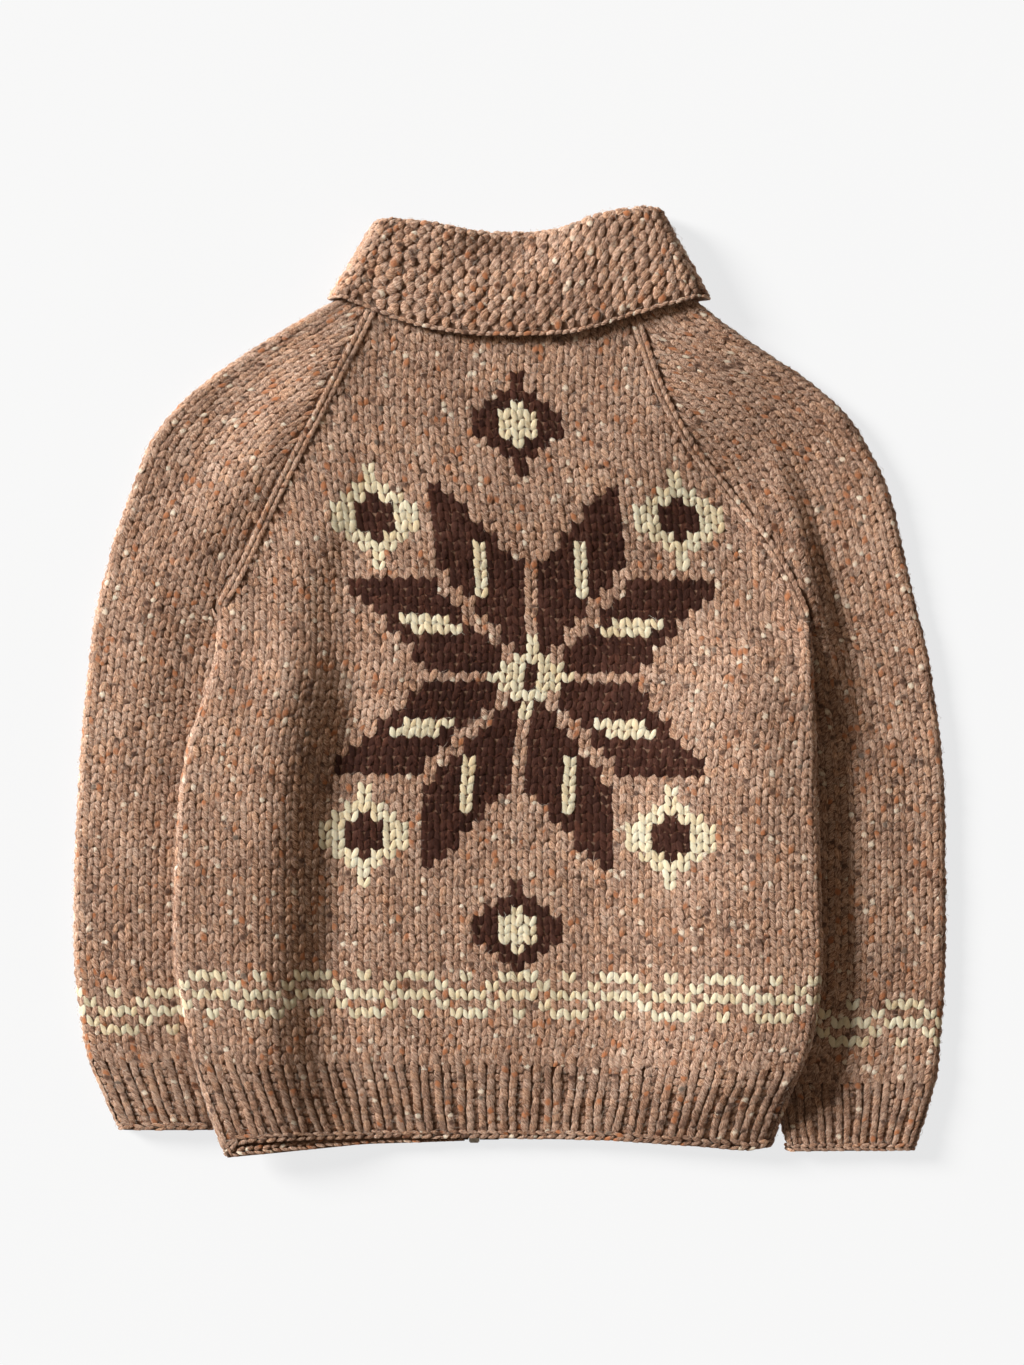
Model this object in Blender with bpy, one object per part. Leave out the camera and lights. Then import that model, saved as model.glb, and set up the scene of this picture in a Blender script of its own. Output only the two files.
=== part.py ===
"""A child's zip-front cowichan sweater, laid flat on its front with its back up.

The tables are in millimetres. The plan lies on the floor: +X runs to the wearer's right,
+Y from the hem to the neck and +Z up. A layer's "depth" runs from 0 at the face that lies
inside the garment to 1 at the face that shows.
"""
import math
from collections import namedtuple

import bmesh
import bpy
from mathutils import Matrix, Vector

MM = 0.001

# Cloth
WALL = 4.5              # bulky wool knit
SEAM = 0.3              # gap between two pieces at a seam
SEAM_INSET = 0.7 * SEAM # what each piece gives of it, more than half where the seam runs aslant
TURN = 0.8              # inner radius of a side fold, half the space between two layers
OUTER_TURN = TURN + WALL
AXIS = OUTER_TURN       # height of a side fold's axis over the floor
QUARTER = math.pi / 2

# Ribs, raised on the faces that show
RIBS_BACK = 24
RIBS_CUFF = {"left": 5, "right": 6}
RIB_VALLEY = 1.8
RIB_STEPS = (0.0, 0.28, 0.72)
GARTER_RIDGES = 27
GARTER_VALLEY = 1.3

# Table rows that the body and the sleeves share; the hem is row 0
RIB_TOP, UNDERARM, NECK = 1, 10, 19
NECK_Y = 223.0

BodyRow = namedtuple("BodyRow", "left_x left_y right_x right_y")
BODY = (
    BodyRow(-165.5, -275.0, 151.0, -270.0),
    BodyRow(-184.0, -220.0, 169.5, -224.5),
    BodyRow(-188.0, -199.0, 176.5, -202.0),
    BodyRow(-195.0, -161.5, 181.5, -164.5),
    BodyRow(-195.0, -115.0, 180.5, -118.0),
    BodyRow(-192.0, -66.0, 178.5, -68.5),
    BodyRow(-187.5, -37.0, 178.0, -39.5),
    BodyRow(-178.0, -8.0, 177.0, -10.5),
    BodyRow(-171.5, 19.5, 176.0, 15.5),
    BodyRow(-172.0, 35.5, 175.5, 28.5),
    BodyRow(-172.5, 43.0, 175.0, 35.5),
    BodyRow(-163.5, 59.0, 166.5, 57.0),
    BodyRow(-153.5, 79.0, 154.5, 78.5),
    BodyRow(-144.0, 99.5, 140.5, 97.0),
    BodyRow(-134.0, 120.0, 126.5, 114.5),
    BodyRow(-123.5, 140.0, 111.5, 133.0),
    BodyRow(-112.5, 160.5, 98.5, 153.0),
    BodyRow(-101.5, 182.0, 88.0, 175.0),
    BodyRow(-91.5, 201.0, 80.0, 198.0),
    BodyRow(-81.0, NECK_Y, 71.5, NECK_Y),
)

# Lower edge of the hem rib, from the left side (0) to the right side (1) of the body
HemPoint = namedtuple("HemPoint", "across y")
HEM_BACK = (
    HemPoint(0.0, -275.0),
    HemPoint(0.03, -267.5),
    HemPoint(0.12, -265.5),
    HemPoint(0.45, -265.5),
    HemPoint(0.7, -266.5),
    HemPoint(0.87, -270.0),
    HemPoint(0.95, -272.5),
    HemPoint(1.0, -270.0),
)
HEM_FRONT = (
    HemPoint(0.0, -275.5),
    HemPoint(0.14, -271.5),
    HemPoint(0.25, -269.0),
    HemPoint(0.46, -267.5),
    HemPoint(0.49, -266.0),
    HemPoint(0.7, -266.0),
    HemPoint(0.87, -269.5),
    HemPoint(0.95, -272.0),
    HemPoint(1.0, -270.0),
)

# A sleeve's outer fold, and its under-sleeve seam as far as the underarm
SleeveRow = namedtuple("SleeveRow", "outer_x outer_y inner_x inner_y crown")
SLEEVE_LEFT = (
    SleeveRow(-228.0, -260.5, -171.5, -260.5, 1.0),
    SleeveRow(-245.5, -220.0, -177.5, -220.0, 1.6),
    SleeveRow(-250.5, -193.5, -180.0, -193.5, 2.0),
    SleeveRow(-254.0, -161.5, -182.0, -161.5, 2.0),
    SleeveRow(-254.0, -115.0, -182.0, -115.0, 2.0),
    SleeveRow(-252.0, -66.0, -184.0, -67.5, 2.2),
    SleeveRow(-249.5, -31.0, -184.5, -35.0, 2.2),
    SleeveRow(-246.0, 6.5, -179.2, -8.0, 2.2),
    SleeveRow(-242.5, 35.5, -172.7, 19.5, 2.2),
    SleeveRow(-238.5, 54.0, -172.7, 35.5, 2.2),
    SleeveRow(-236.0, 62.0, -172.5, 43.0, 2.2),
    SleeveRow(-230.5, 84.0, -163.5, 59.0, 2.2),
    SleeveRow(-225.0, 99.5, -153.5, 79.0, 2.0),
    SleeveRow(-218.0, 119.0, -144.0, 99.5, 1.8),
    SleeveRow(-209.5, 140.0, -134.0, 120.0, 1.6),
    SleeveRow(-192.5, 161.5, -123.5, 140.0, 1.2),
    SleeveRow(-171.0, 179.5, -112.5, 160.5, 0.8),
    SleeveRow(-146.0, 196.0, -101.5, 182.0, 0.4),
    SleeveRow(-122.0, 210.0, -91.5, 201.0, 0.0),
    SleeveRow(-98.8, NECK_Y, -81.0, NECK_Y, 0.0),
)
SLEEVE_RIGHT = (
    SleeveRow(235.5, -272.5, 162.5, -273.0, 1.0),
    SleeveRow(248.0, -233.0, 168.5, -233.0, 1.6),
    SleeveRow(252.0, -196.5, 168.0, -196.5, 2.2),
    SleeveRow(254.0, -161.5, 166.5, -161.5, 2.2),
    SleeveRow(254.0, -118.0, 166.5, -118.0, 2.2),
    SleeveRow(253.5, -68.5, 168.0, -68.5, 2.2),
    SleeveRow(251.0, -34.0, 172.5, -37.0, 2.2),
    SleeveRow(247.0, -5.0, 178.2, -10.5, 2.2),
    SleeveRow(243.0, 19.5, 177.2, 15.5, 2.2),
    SleeveRow(237.0, 42.5, 176.2, 28.5, 2.2),
    SleeveRow(235.5, 50.0, 175.0, 35.5, 2.2),
    SleeveRow(230.5, 71.5, 166.5, 57.0, 2.2),
    SleeveRow(225.5, 93.5, 154.5, 78.5, 2.0),
    SleeveRow(220.5, 112.0, 140.5, 97.0, 1.8),
    SleeveRow(211.5, 131.5, 126.5, 114.5, 1.6),
    SleeveRow(197.0, 154.5, 111.5, 133.0, 1.2),
    SleeveRow(177.0, 173.0, 98.5, 153.0, 0.8),
    SleeveRow(152.0, 189.5, 88.0, 175.0, 0.4),
    SleeveRow(126.0, 207.0, 80.0, 198.0, 0.0),
    SleeveRow(106.2, NECK_Y, 71.5, NECK_Y, 0.0),
)
SLEEVES = {"left": SLEEVE_LEFT, "right": SLEEVE_RIGHT}
CROWN_PEAK = {"left": 1.0, "right": 1.7}    # 1 puts the crown midway, more moves it outward

# How far the body is raised over the sleeves that lie under its edges
SideRise = namedtuple("SideRise", "y left right")
BODY_RISE = 2 * OUTER_TURN + SEAM
SIDE_RISE = (
    SideRise(-276.0, 0.8, 0.15),
    SideRise(-258.0, 1.0, 0.45),
    SideRise(-232.0, 1.0, 1.0),
    SideRise(-20.0, 1.0, 1.0),
    SideRise(-6.0, 0.85, 1.0),
    SideRise(16.0, 0.4, 0.45),
    SideRise(35.5, 0.05, 0.0),
    SideRise(43.0, 0.0, 0.0),
)
SIDE_REST = 19.0                            # stays level this far in from the edge
SIDE_REACH = {"left": 60.0, "right": 52.0}  # and then comes down over this length

# The collar's front fall lies under the fronts and raises them and the sleeve tops
COLLAR_RISE = OUTER_TURN
FALL_CENTRE = (2.3, 227.0)
FALL_HALF = (110.2, 104.4)
FALL_LEVEL, FALL_END = 1.05, 1.7

# Soft ridges in the upper layer
Fold = namedtuple("Fold", "x1 y1 x2 y2 width height")
FOLDS = (
    Fold(-152.0, 88.0, -170.0, -40.0, 11.0, 1.6),
    Fold(-138.0, 70.0, -136.0, -150.0, 20.0, 1.5),
    Fold(-30.0, 120.0, -52.0, -60.0, 26.0, 0.9),
    Fold(138.0, 78.0, 150.0, -110.0, 17.0, 1.4),
    Fold(60.0, -60.0, 74.0, -225.0, 22.0, 1.1),
    Fold(-200.0, 110.0, -226.0, -60.0, 13.0, 0.8),
    Fold(172.0, 140.0, 214.0, 40.0, 14.0, 0.8),
)
FOLD_FADE = 0.35        # share of a fold's length over which each end dies away

# Front opening and zip
ZIP_TOP = Vector((2.3, 177.8))
ZIP_FOOT = Vector((-20.9, -267.5))
OPENING_HALF = 5.5
TAPE_WIDTH = 11.0
TAPE_LOW, TAPE_HIGH = 4.95, 5.5
TAPE_ENDS = (-266.5, 176.3)
CHAIN_HALF = 3.0
CHAIN_LOW, CHAIN_HIGH = 3.2, 5.4
CHAIN_ENDS = (-261.0, 160.2)
BEND_CLEAR = 2.0        # no bend of the zip lies nearer its ends than this
BOX_SIZE = (6.0, 7.0, 3.0)
BOX_Y = -264.9
SLIDER_SIZE = (9.4, 11.0, 3.0)
SLIDER_CENTRE = (1.7, 166.0, 8.4)
METAL_EDGE = 0.6
BAIL_WIDTH, BAIL_WIRE = 1.3, 1.2
BAIL_HALF, BAIL_DROP = 3.5, 3.2
BAIL_ROOT = 0.5         # how far its feet are sunk in the slider
BAIL_CORNER, BAIL_INNER_CORNER = 1.4, 0.9
PULL_AXIS = (1.7, 166.0, 5.6)
PULL_LENGTH, PULL_HALF, PULL_THICK = 24.0, 3.0, 1.2
PULL_CORNER = 0.4
PULL_TIP_STEPS = 8
PULL_EYE_HALF, PULL_EYE_LENGTH = 1.9, 5.4
PULL_SLOPE = math.radians(11.5)

# Collar, as lines on the plan: where it is sewn on, where it turns down, and its edge
CollarRow = namedtuple("CollarRow", "seam_x seam_y fold_x fold_y edge_x edge_y")
COLLAR_BACK = (
    CollarRow(-93.5, NECK_Y, -70.5, 264.5, -96.2, 221.5),
    CollarRow(-62.0, NECK_Y, -45.4, 261.6, -62.0, 207.8),
    CollarRow(-31.3, NECK_Y, -20.3, 257.3, -28.0, 200.7),
    CollarRow(1.8, NECK_Y, 4.8, 256.7, 5.5, 199.6),
    CollarRow(34.8, NECK_Y, 29.8, 259.2, 39.0, 201.8),
    CollarRow(67.9, NECK_Y, 54.9, 267.2, 73.0, 211.7),
    CollarRow(100.9, NECK_Y, 80.0, 271.2, 107.0, 221.5),
)
COLLAR_FRONT = {
    "left": (
        CollarRow(-93.5, NECK_Y, -70.5, 264.5, -96.2, 221.5),
        CollarRow(-48.35, 200.4, -45.5, 214.5, -68.5, 149.0),
        CollarRow(-3.2, 177.8, -4.5, 184.0, -25.5, 127.5),
    ),
    "right": (
        CollarRow(100.9, NECK_Y, 80.0, 271.2, 107.0, 221.5),
        CollarRow(54.35, 200.4, 50.0, 214.5, 73.0, 149.0),
        CollarRow(7.8, 177.8, 9.0, 184.0, 30.0, 127.5),
    ),
}
COLLAR_AXIS = 2 * OUTER_TURN                # the four layers are folded round this height
FOLD_RADIUS = WALL + TURN / 2               # outer radius of the turned-down edge
COLLAR_SAG = 8.0                            # the turned edge sinks where nothing is under it
SAG_CENTRE, SAG_HALF = 4.8, 46.0
SAG_FROM, SAG_TO = 227.0, 256.0

# Grid steps
CURL_STEPS = (1.0, 2 / 3, 1 / 3)
BACK_STEPS, FRONT_STEPS = 24, 9
SLEEVE_TOP_STEPS, SLEEVE_UNDER_STEPS, TURN_STEPS = 9, 6, 6
COLLAR_FRONT_STEPS, COLLAR_TURN_STEPS = 7, 6
LOWER_ROWS = (1, 1.5, 2, 2.5, 3, 3.5, 4, 4.5, 5, 5.5, 6, 6.5, 7, 8, 9)
UPPER_ROWS = tuple(range(UNDERARM, NECK))

WELD = 0.00001                              # metres
SHARP = math.radians(50)

TWEED, WOOL_ROUGHNESS = (0.27, 0.165, 0.105), 0.9
TAPE_CLOTH, TAPE_ROUGHNESS = (0.05, 0.03, 0.022), 0.8
METAL, METAL_ROUGHNESS = (0.62, 0.6, 0.56), 0.3


def smooth(value, start, end):
    """Rise from 0 to 1 between start and end, level at both."""
    t = min(max((value - start) / (end - start), 0.0), 1.0)
    return t * t * (3.0 - 2.0 * t)


def read(table, row, column):
    """Read a table's column at any row, on a smooth curve through its rows."""
    last = len(table) - 1
    first = min(int(row), last - 1)
    t = row - first
    a, b, c, d = (getattr(table[min(max(first + k, 0), last)], column) for k in (-1, 0, 1, 2))
    if t == 0.0:
        return b
    cubic = (3 * b - a - 3 * c + d) * t ** 3
    square = (2 * a - 5 * b + 4 * c - d) * t ** 2
    return b + 0.5 * ((c - a) * t + square + cubic)


def read_by(table, key, value, column):
    """Read a column where another column, in rising order, has the given value."""
    if value <= getattr(table[0], key):
        return getattr(table[0], column)
    for low, high in zip(table, table[1:]):
        if value <= getattr(high, key):
            t = (value - getattr(low, key)) / (getattr(high, key) - getattr(low, key))
            return getattr(low, column) + t * (getattr(high, column) - getattr(low, column))
    return getattr(table[-1], column)


def collar_rise(x, y):
    """Height given by the collar's front fall, which lies under the fronts."""
    across = (x - FALL_CENTRE[0]) / FALL_HALF[0]
    along = (y - FALL_CENTRE[1]) / FALL_HALF[1]
    return COLLAR_RISE * (1.0 - smooth(math.hypot(across, along), FALL_LEVEL, FALL_END))


def side_rise(x, y):
    """Height given to the body's edges by the sleeves that lie under them."""
    total = 0.0
    for side, inward in (("left", 1.0), ("right", -1.0)):
        edge = read_by(BODY, side + "_y", y, side + "_x")
        inside = (x - edge) * inward
        level = 1.0 - smooth(inside, SIDE_REST, SIDE_REST + SIDE_REACH[side])
        total += BODY_RISE * level * read_by(SIDE_RISE, "y", y, side)
    return total


def folds(x, y):
    """Height of the soft ridges in the upper layer."""
    total = 0.0
    for fold in FOLDS:
        start = Vector((fold.x1, fold.y1))
        along = Vector((fold.x2, fold.y2)) - start
        offset = Vector((x, y)) - start
        t = offset.dot(along) / along.length_squared
        across = (offset - t * along).length / fold.width
        ends = smooth(t, 0.0, FOLD_FADE) * (1.0 - smooth(t, 1.0 - FOLD_FADE, 1.0))
        total += fold.height * ends * math.exp(-across * across)
    return total


def across_layer(start, end, curl_start, curl_end, part, value, depth):
    """Plan point and height over the fold axis, on a layer whose ends may turn down.

    part is "start" or "end" on a turned end, with value 1 at its edge, or "flat" between
    them, with value from 0 to 1.
    """
    width = (end - start).length
    along = (end - start) / width
    radius = TURN + depth * WALL
    inset_start = OUTER_TURN * math.sin(curl_start)
    inset_end = OUTER_TURN * math.sin(curl_end)
    height = radius
    if part == "start":
        reach = inset_start - radius * math.sin(value * curl_start)
        height = radius * math.cos(value * curl_start)
    elif part == "end":
        reach = width - inset_end + radius * math.sin(value * curl_end)
        height = radius * math.cos(value * curl_end)
    else:
        reach = inset_start + value * (width - inset_start - inset_end)
    return start + along * reach, max(height, SEAM / 2)


def curl_at(row):
    """The side edges turn down by a quarter below the underarm, and are sewn flat above."""
    return 0.0 if row >= UNDERARM else QUARTER


def body_side(row, side):
    return Vector((read(BODY, row, side + "_x"), read(BODY, row, side + "_y")))


def hem_drop(hem, row, across, straight_y):
    """Move a rib row from the straight line between its ends to the hem's shape."""
    if row >= RIB_TOP:
        return 0.0
    return (read_by(hem, "across", across, "y") - straight_y) * (RIB_TOP - row)


def flat_steps(count):
    return [("flat", k / count) for k in range(count + 1)]


def rib_steps(ribs):
    steps = [("flat", (rib + step) / ribs) for rib in range(ribs) for step in RIB_STEPS]
    return steps + [("flat", 1.0)]


def turned_steps(middle):
    start = [("start", value) for value in CURL_STEPS]
    end = [("end", value) for value in reversed(CURL_STEPS)]
    return start + middle + end


def raised(point, up, rise):
    return Vector((point[0], point[1], AXIS + up + rise)) * MM


def back_point(row, part, value, depth):
    """A point of the back, which is the upper layer."""
    left = body_side(row, "left")
    right = body_side(row, "right")
    along = (right - left).normalized() * SEAM_INSET
    curl = curl_at(row)
    point, height = across_layer(left + along, right - along, curl, curl, part, value, depth)
    share = (point.x - left.x) / (right.x - left.x)
    straight = left.y + share * (right.y - left.y)
    point.y += hem_drop(HEM_BACK, row, share, straight)
    upper = folds(point.x, point.y) if part == "flat" else 0.0
    return raised(point, height + upper, side_rise(*point) + collar_rise(*point))


def neck_corner(side):
    """Table row where the front's raglan edge meets the front neckline."""
    top = body_side(NECK, side)
    below = body_side(NECK - 1, side)
    seam = COLLAR_FRONT[side]
    start = Vector((seam[0].seam_x, seam[0].seam_y))
    neckline = Vector((seam[-1].seam_x, seam[-1].seam_y)) - start
    edge = top - below
    offset = start - below
    return NECK - 1 + offset.cross(neckline) / edge.cross(neckline)


def raglan_point(side, row):
    """A point on the straight line between two raglan rows."""
    low = body_side(int(row), side)
    high = body_side(min(int(row) + 1, NECK), side)
    return low.lerp(high, row - int(row))


def opening_point(side, row, top_row):
    """The front's edge beside the zip, at the same table row as its outer edge."""
    left, right = body_side(min(row, UNDERARM), "left"), body_side(min(row, UNDERARM), "right")
    y = (left.y + right.y) / 2
    if row > UNDERARM:
        y += (ZIP_TOP.y - y) * (row - UNDERARM) / (top_row - UNDERARM)
    inward = -1.0 if side == "left" else 1.0
    return Vector((zip_x(y) + inward * OPENING_HALF, y))


def zip_x(y):
    return ZIP_FOOT.x + (y - ZIP_FOOT.y) / (ZIP_TOP.y - ZIP_FOOT.y) * (ZIP_TOP.x - ZIP_FOOT.x)


def front_point(side, row, top_row, part, value, depth):
    """A point of a front, which is the lower layer; it starts at its outer edge."""
    outer = raglan_point(side, row) if row > UNDERARM else body_side(row, side)
    inner = opening_point(side, row, top_row)
    outer = outer + (inner - outer).normalized() * SEAM_INSET
    point, height = across_layer(outer, inner, curl_at(row), 0.0, part, value, depth)
    left, right = body_side(min(row, 1), "left"), body_side(min(row, 1), "right")
    share = (point.x - left.x) / (right.x - left.x)
    straight = outer.y + (point.x - outer.x) / (inner.x - outer.x) * (inner.y - outer.y)
    point.y += hem_drop(HEM_FRONT, row, share, straight)
    if row == top_row:
        point.y -= SEAM_INSET
    return raised(point, -height, side_rise(*point) + collar_rise(*point))


def sleeve_point(side, row, part, value, depth):
    """A point of a sleeve: its upper layer, its outer fold, then its lower layer."""
    table = SLEEVES[side]
    outer = Vector((read(table, row, "outer_x"), read(table, row, "outer_y")))
    inner = Vector((read(table, row, "inner_x"), read(table, row, "inner_y")))
    along = (outer - inner).normalized()
    axis = outer - along * OUTER_TURN
    if row == NECK and part in ("under", "end"):
        inner = raglan_point(side, neck_corner(side))
    towards = (axis - inner).normalized()
    inner = inner + towards * SEAM_INSET
    curl = curl_at(row)
    radius = TURN + depth * WALL
    if part == "turn":
        angle = value * math.pi
        point = axis + along * radius * math.sin(angle)
        height = radius * math.cos(angle)
    else:
        section = "start" if part in ("start", "end") else "flat"
        point, height = across_layer(inner, axis, curl, 0.0, section, value, depth)
    if part in ("under", "end"):
        height = -height
    if part == "top":
        arch = math.sin(math.pi * value ** CROWN_PEAK[side])
        height += read(table, row, "crown") * arch + folds(*point)
    if row == NECK:
        point.y -= SEAM_INSET
    return raised(point, height, collar_rise(*point))


def sleeve_steps(top):
    """Columns round a sleeve from its back seam edge to its front seam edge."""
    steps = [("start", value) for value in CURL_STEPS]
    steps += [("top", value) for part, value in top]
    steps += [("turn", k / TURN_STEPS) for k in range(1, TURN_STEPS)]
    steps += [("under", 1.0 - k / SLEEVE_UNDER_STEPS) for k in range(SLEEVE_UNDER_STEPS + 1)]
    return steps + [("end", value) for value in reversed(CURL_STEPS)]


def collar_lines(place, value, side):
    """Seam, fold and edge points of the collar on the plan."""
    table = COLLAR_BACK if place == "back" else COLLAR_FRONT[side]
    row = value * (len(table) - 1)
    seam, fold, edge = (
        Vector((read(table, row, line + "_x"), read(table, row, line + "_y")))
        for line in ("seam", "fold", "edge")
    )
    return seam, fold, edge


def collar_point(column, level, depth):
    """A point of the collar, which is folded round the neck and turned down outward."""
    place, value, side, angle, ridge = column
    kind, step = level
    seam, fold, edge = collar_lines(place, value, side)
    outward = (fold - edge).normalized()
    centre = OUTER_TURN + TURN / 2
    turn = FOLD_RADIUS if depth == 0.0 else TURN / 2
    radius = centre
    if kind == "stand":
        point = seam.lerp(fold, step)
        radius = centre - turn
    elif kind == "fold":
        point = fold + outward * turn * math.sin(step * math.pi)
        radius = centre - turn * math.cos(step * math.pi)
    else:
        point = fold.lerp(edge, step)
        radius = centre + turn
    if kind == "stand" and step == 0.0:
        point.y += SEAM_INSET
    shows = kind == "fall" or (kind == "fold" and step >= 0.5)
    if depth == 0.0 and shows and ridge:
        radius -= GARTER_VALLEY
    away = -1.0 if side == "left" else 1.0
    point.x += away * radius * math.sin(angle)
    height = COLLAR_AXIS + radius * math.cos(angle)
    if place == "back":
        near = min(abs(point.x - SAG_CENTRE) / SAG_HALF, 1.0)
        height -= COLLAR_SAG * math.cos(near * QUARTER) ** 2 * smooth(point.y, SAG_FROM, SAG_TO)
    return Vector((point.x, point.y, height)) * MM


def collar_columns():
    """Columns round the collar from its left front end to its right front end."""
    columns = []
    for k in range(COLLAR_FRONT_STEPS, 0, -1):
        columns.append(("front", k / COLLAR_FRONT_STEPS, "left", math.pi, False))
    for k in range(COLLAR_TURN_STEPS, 0, -1):
        columns.append(("back", 0.0, "left", math.pi * k / COLLAR_TURN_STEPS, False))
    for k in range(2 * GARTER_RIDGES + 1):
        columns.append(("back", k / (2 * GARTER_RIDGES), "left", 0.0, k % 2 == 1))
    for k in range(1, COLLAR_TURN_STEPS + 1):
        columns.append(("back", 1.0, "right", math.pi * k / COLLAR_TURN_STEPS, False))
    for k in range(1, COLLAR_FRONT_STEPS + 1):
        columns.append(("front", k / COLLAR_FRONT_STEPS, "right", math.pi, False))
    return columns


COLLAR_LEVELS = (
    ("stand", 0.0), ("stand", 0.5),
    ("fold", 0.0), ("fold", 0.25), ("fold", 0.5), ("fold", 0.75), ("fold", 1.0),
    ("fall", 0.34), ("fall", 0.67), ("fall", 1.0),
)


def finish(name, colour, roughness, metallic=0.0):
    """A plain material for one piece."""
    material = bpy.data.materials.new(name)
    material.use_nodes = True
    shader = material.node_tree.nodes["Principled BSDF"]
    shader.inputs["Base Color"].default_value = (*colour, 1.0)
    shader.inputs["Roughness"].default_value = roughness
    shader.inputs["Metallic"].default_value = metallic
    return material


def add_object(name, mesh, material, collection):
    part = bpy.data.objects.new(name, mesh)
    mesh.materials.append(material)
    collection.objects.link(part)
    return part


def wall(name, columns, rows, place, material, collection):
    """A closed cloth wall: two grids sewn round their borders, then laid in place.

    place(column, row, depth) gives the final point of a grid corner.
    """
    cloth = bmesh.new()
    for depth in (0.0, 1.0):
        layer = Matrix.Translation((0.0, 0.0, depth))
        bmesh.ops.create_grid(cloth, x_segments=columns, y_segments=rows, size=0.5, matrix=layer)
    border = [edge for edge in cloth.edges if edge.is_boundary]
    bmesh.ops.bridge_loops(cloth, edges=border)
    for corner in cloth.verts:
        column = round((corner.co.x + 0.5) * columns)
        row = round((corner.co.y + 0.5) * rows)
        corner.co = place(column, row, corner.co.z)
    bmesh.ops.recalc_face_normals(cloth, faces=cloth.faces)
    if cloth.calc_volume(signed=True) < 0.0:
        bmesh.ops.reverse_faces(cloth, faces=cloth.faces)
    mesh = bpy.data.meshes.new(name)
    cloth.to_mesh(mesh)
    cloth.free()
    mesh.shade_smooth()
    mesh.set_sharp_from_angle(angle=SHARP)
    return add_object(name, mesh, material, collection)


def rib_valley(steps, column, depth):
    """Depth of a rib's valley at a column, on the face that shows."""
    value = steps[column][1]
    ribs = (len(steps) - 1) // len(RIB_STEPS)
    if depth == 0.0 or not 0.0 < value < 1.0:
        return 0.0
    return RIB_VALLEY if abs(value * ribs - round(value * ribs)) < 0.01 else 0.0


def make_back(wool, collection):
    rows = LOWER_ROWS + UPPER_ROWS + (NECK,)
    steps = turned_steps(flat_steps(BACK_STEPS))

    def place(column, row, depth):
        point = back_point(rows[row], *steps[column], depth)
        if rows[row] == RIB_TOP:
            point.y += SEAM / 2 * MM
        if rows[row] == NECK:
            point.y -= SEAM_INSET * MM
        return point

    wall("back", len(steps) - 1, len(rows) - 1, place, wool, collection)


def make_back_welt(wool, collection):
    rows = (0.0, 0.5, 1.0)
    ribs = rib_steps(RIBS_BACK)
    steps = turned_steps(ribs)
    first = len(CURL_STEPS)

    def place(column, row, depth):
        point = back_point(rows[row], *steps[column], depth)
        if rows[row] == RIB_TOP:
            point.y -= SEAM / 2 * MM
        if 0 <= column - first < len(ribs):
            point.z -= rib_valley(ribs, column - first, depth) * MM
        return point

    wall("back_welt", len(steps) - 1, len(rows) - 1, place, wool, collection)


def make_front(side, wool, collection):
    top_row = neck_corner(side)
    rows = LOWER_ROWS + UPPER_ROWS + (top_row,)
    steps = [("start", value) for value in CURL_STEPS] + flat_steps(FRONT_STEPS)

    def place(column, row, depth):
        point = front_point(side, rows[row], top_row, *steps[column], depth)
        if rows[row] == RIB_TOP:
            point.y += SEAM / 2 * MM
        return point

    wall("front_" + side, len(steps) - 1, len(rows) - 1, place, wool, collection)


def make_front_welt(side, wool, collection):
    rows = (0.0, 0.5, 1.0)
    steps = [("start", value) for value in CURL_STEPS] + flat_steps(FRONT_STEPS)

    def place(column, row, depth):
        point = front_point(side, rows[row], NECK, *steps[column], depth)
        if rows[row] == RIB_TOP:
            point.y -= SEAM / 2 * MM
        return point

    wall("front_" + side + "_welt", len(steps) - 1, len(rows) - 1, place, wool, collection)


def make_sleeve(side, wool, collection):
    rows = LOWER_ROWS + UPPER_ROWS + (NECK,)
    steps = sleeve_steps(flat_steps(SLEEVE_TOP_STEPS))

    def place(column, row, depth):
        point = sleeve_point(side, rows[row], *steps[column], depth)
        if rows[row] == RIB_TOP:
            point.y += SEAM / 2 * MM
        return point

    wall("sleeve_" + side, len(steps) - 1, len(rows) - 1, place, wool, collection)


def make_cuff(side, wool, collection):
    rows = (0.0, 0.5, 1.0)
    ribs = rib_steps(RIBS_CUFF[side])
    steps = sleeve_steps(ribs)
    first = len(CURL_STEPS)

    def place(column, row, depth):
        point = sleeve_point(side, rows[row], *steps[column], depth)
        if rows[row] == RIB_TOP:
            point.y -= SEAM / 2 * MM
        if 0 <= column - first < len(ribs):
            point.z -= rib_valley(ribs, column - first, depth) * MM
        return point

    wall("cuff_" + side, len(steps) - 1, len(rows) - 1, place, wool, collection)


def make_collar(wool, collection):
    columns = collar_columns()

    def place(column, row, depth):
        return collar_point(columns[column], COLLAR_LEVELS[row], depth)

    wall("collar", len(columns) - 1, len(COLLAR_LEVELS) - 1, place, wool, collection)


def zip_levels(ends):
    """Heights on the plan at which the zip bends with the fronts' edges."""
    rows = LOWER_ROWS + UPPER_ROWS
    levels = [opening_point("left", row, neck_corner("left")).y for row in rows]
    low, high = ends
    return [low] + [y for y in levels if low + BEND_CLEAR < y < high - BEND_CLEAR] + [high]


def zip_strip(name, near, far, low, high, ends, material, collection):
    """A thin strip along the zip, between two offsets from its centre line."""
    levels = zip_levels(ends)

    def place(column, row, depth):
        y = levels[row]
        x = zip_x(y) + near + (far - near) * column
        return Vector((x, y, low + (high - low) * depth + collar_rise(x, y))) * MM

    wall(name, 1, len(levels) - 1, place, material, collection)


def make_tape(side, cloth, collection):
    away = -1.0 if side == "left" else 1.0
    near = away * (CHAIN_HALF + SEAM)
    zip_strip("zip_tape_" + side, near, near + away * TAPE_WIDTH, TAPE_LOW, TAPE_HIGH,
              TAPE_ENDS, cloth, collection)


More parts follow.
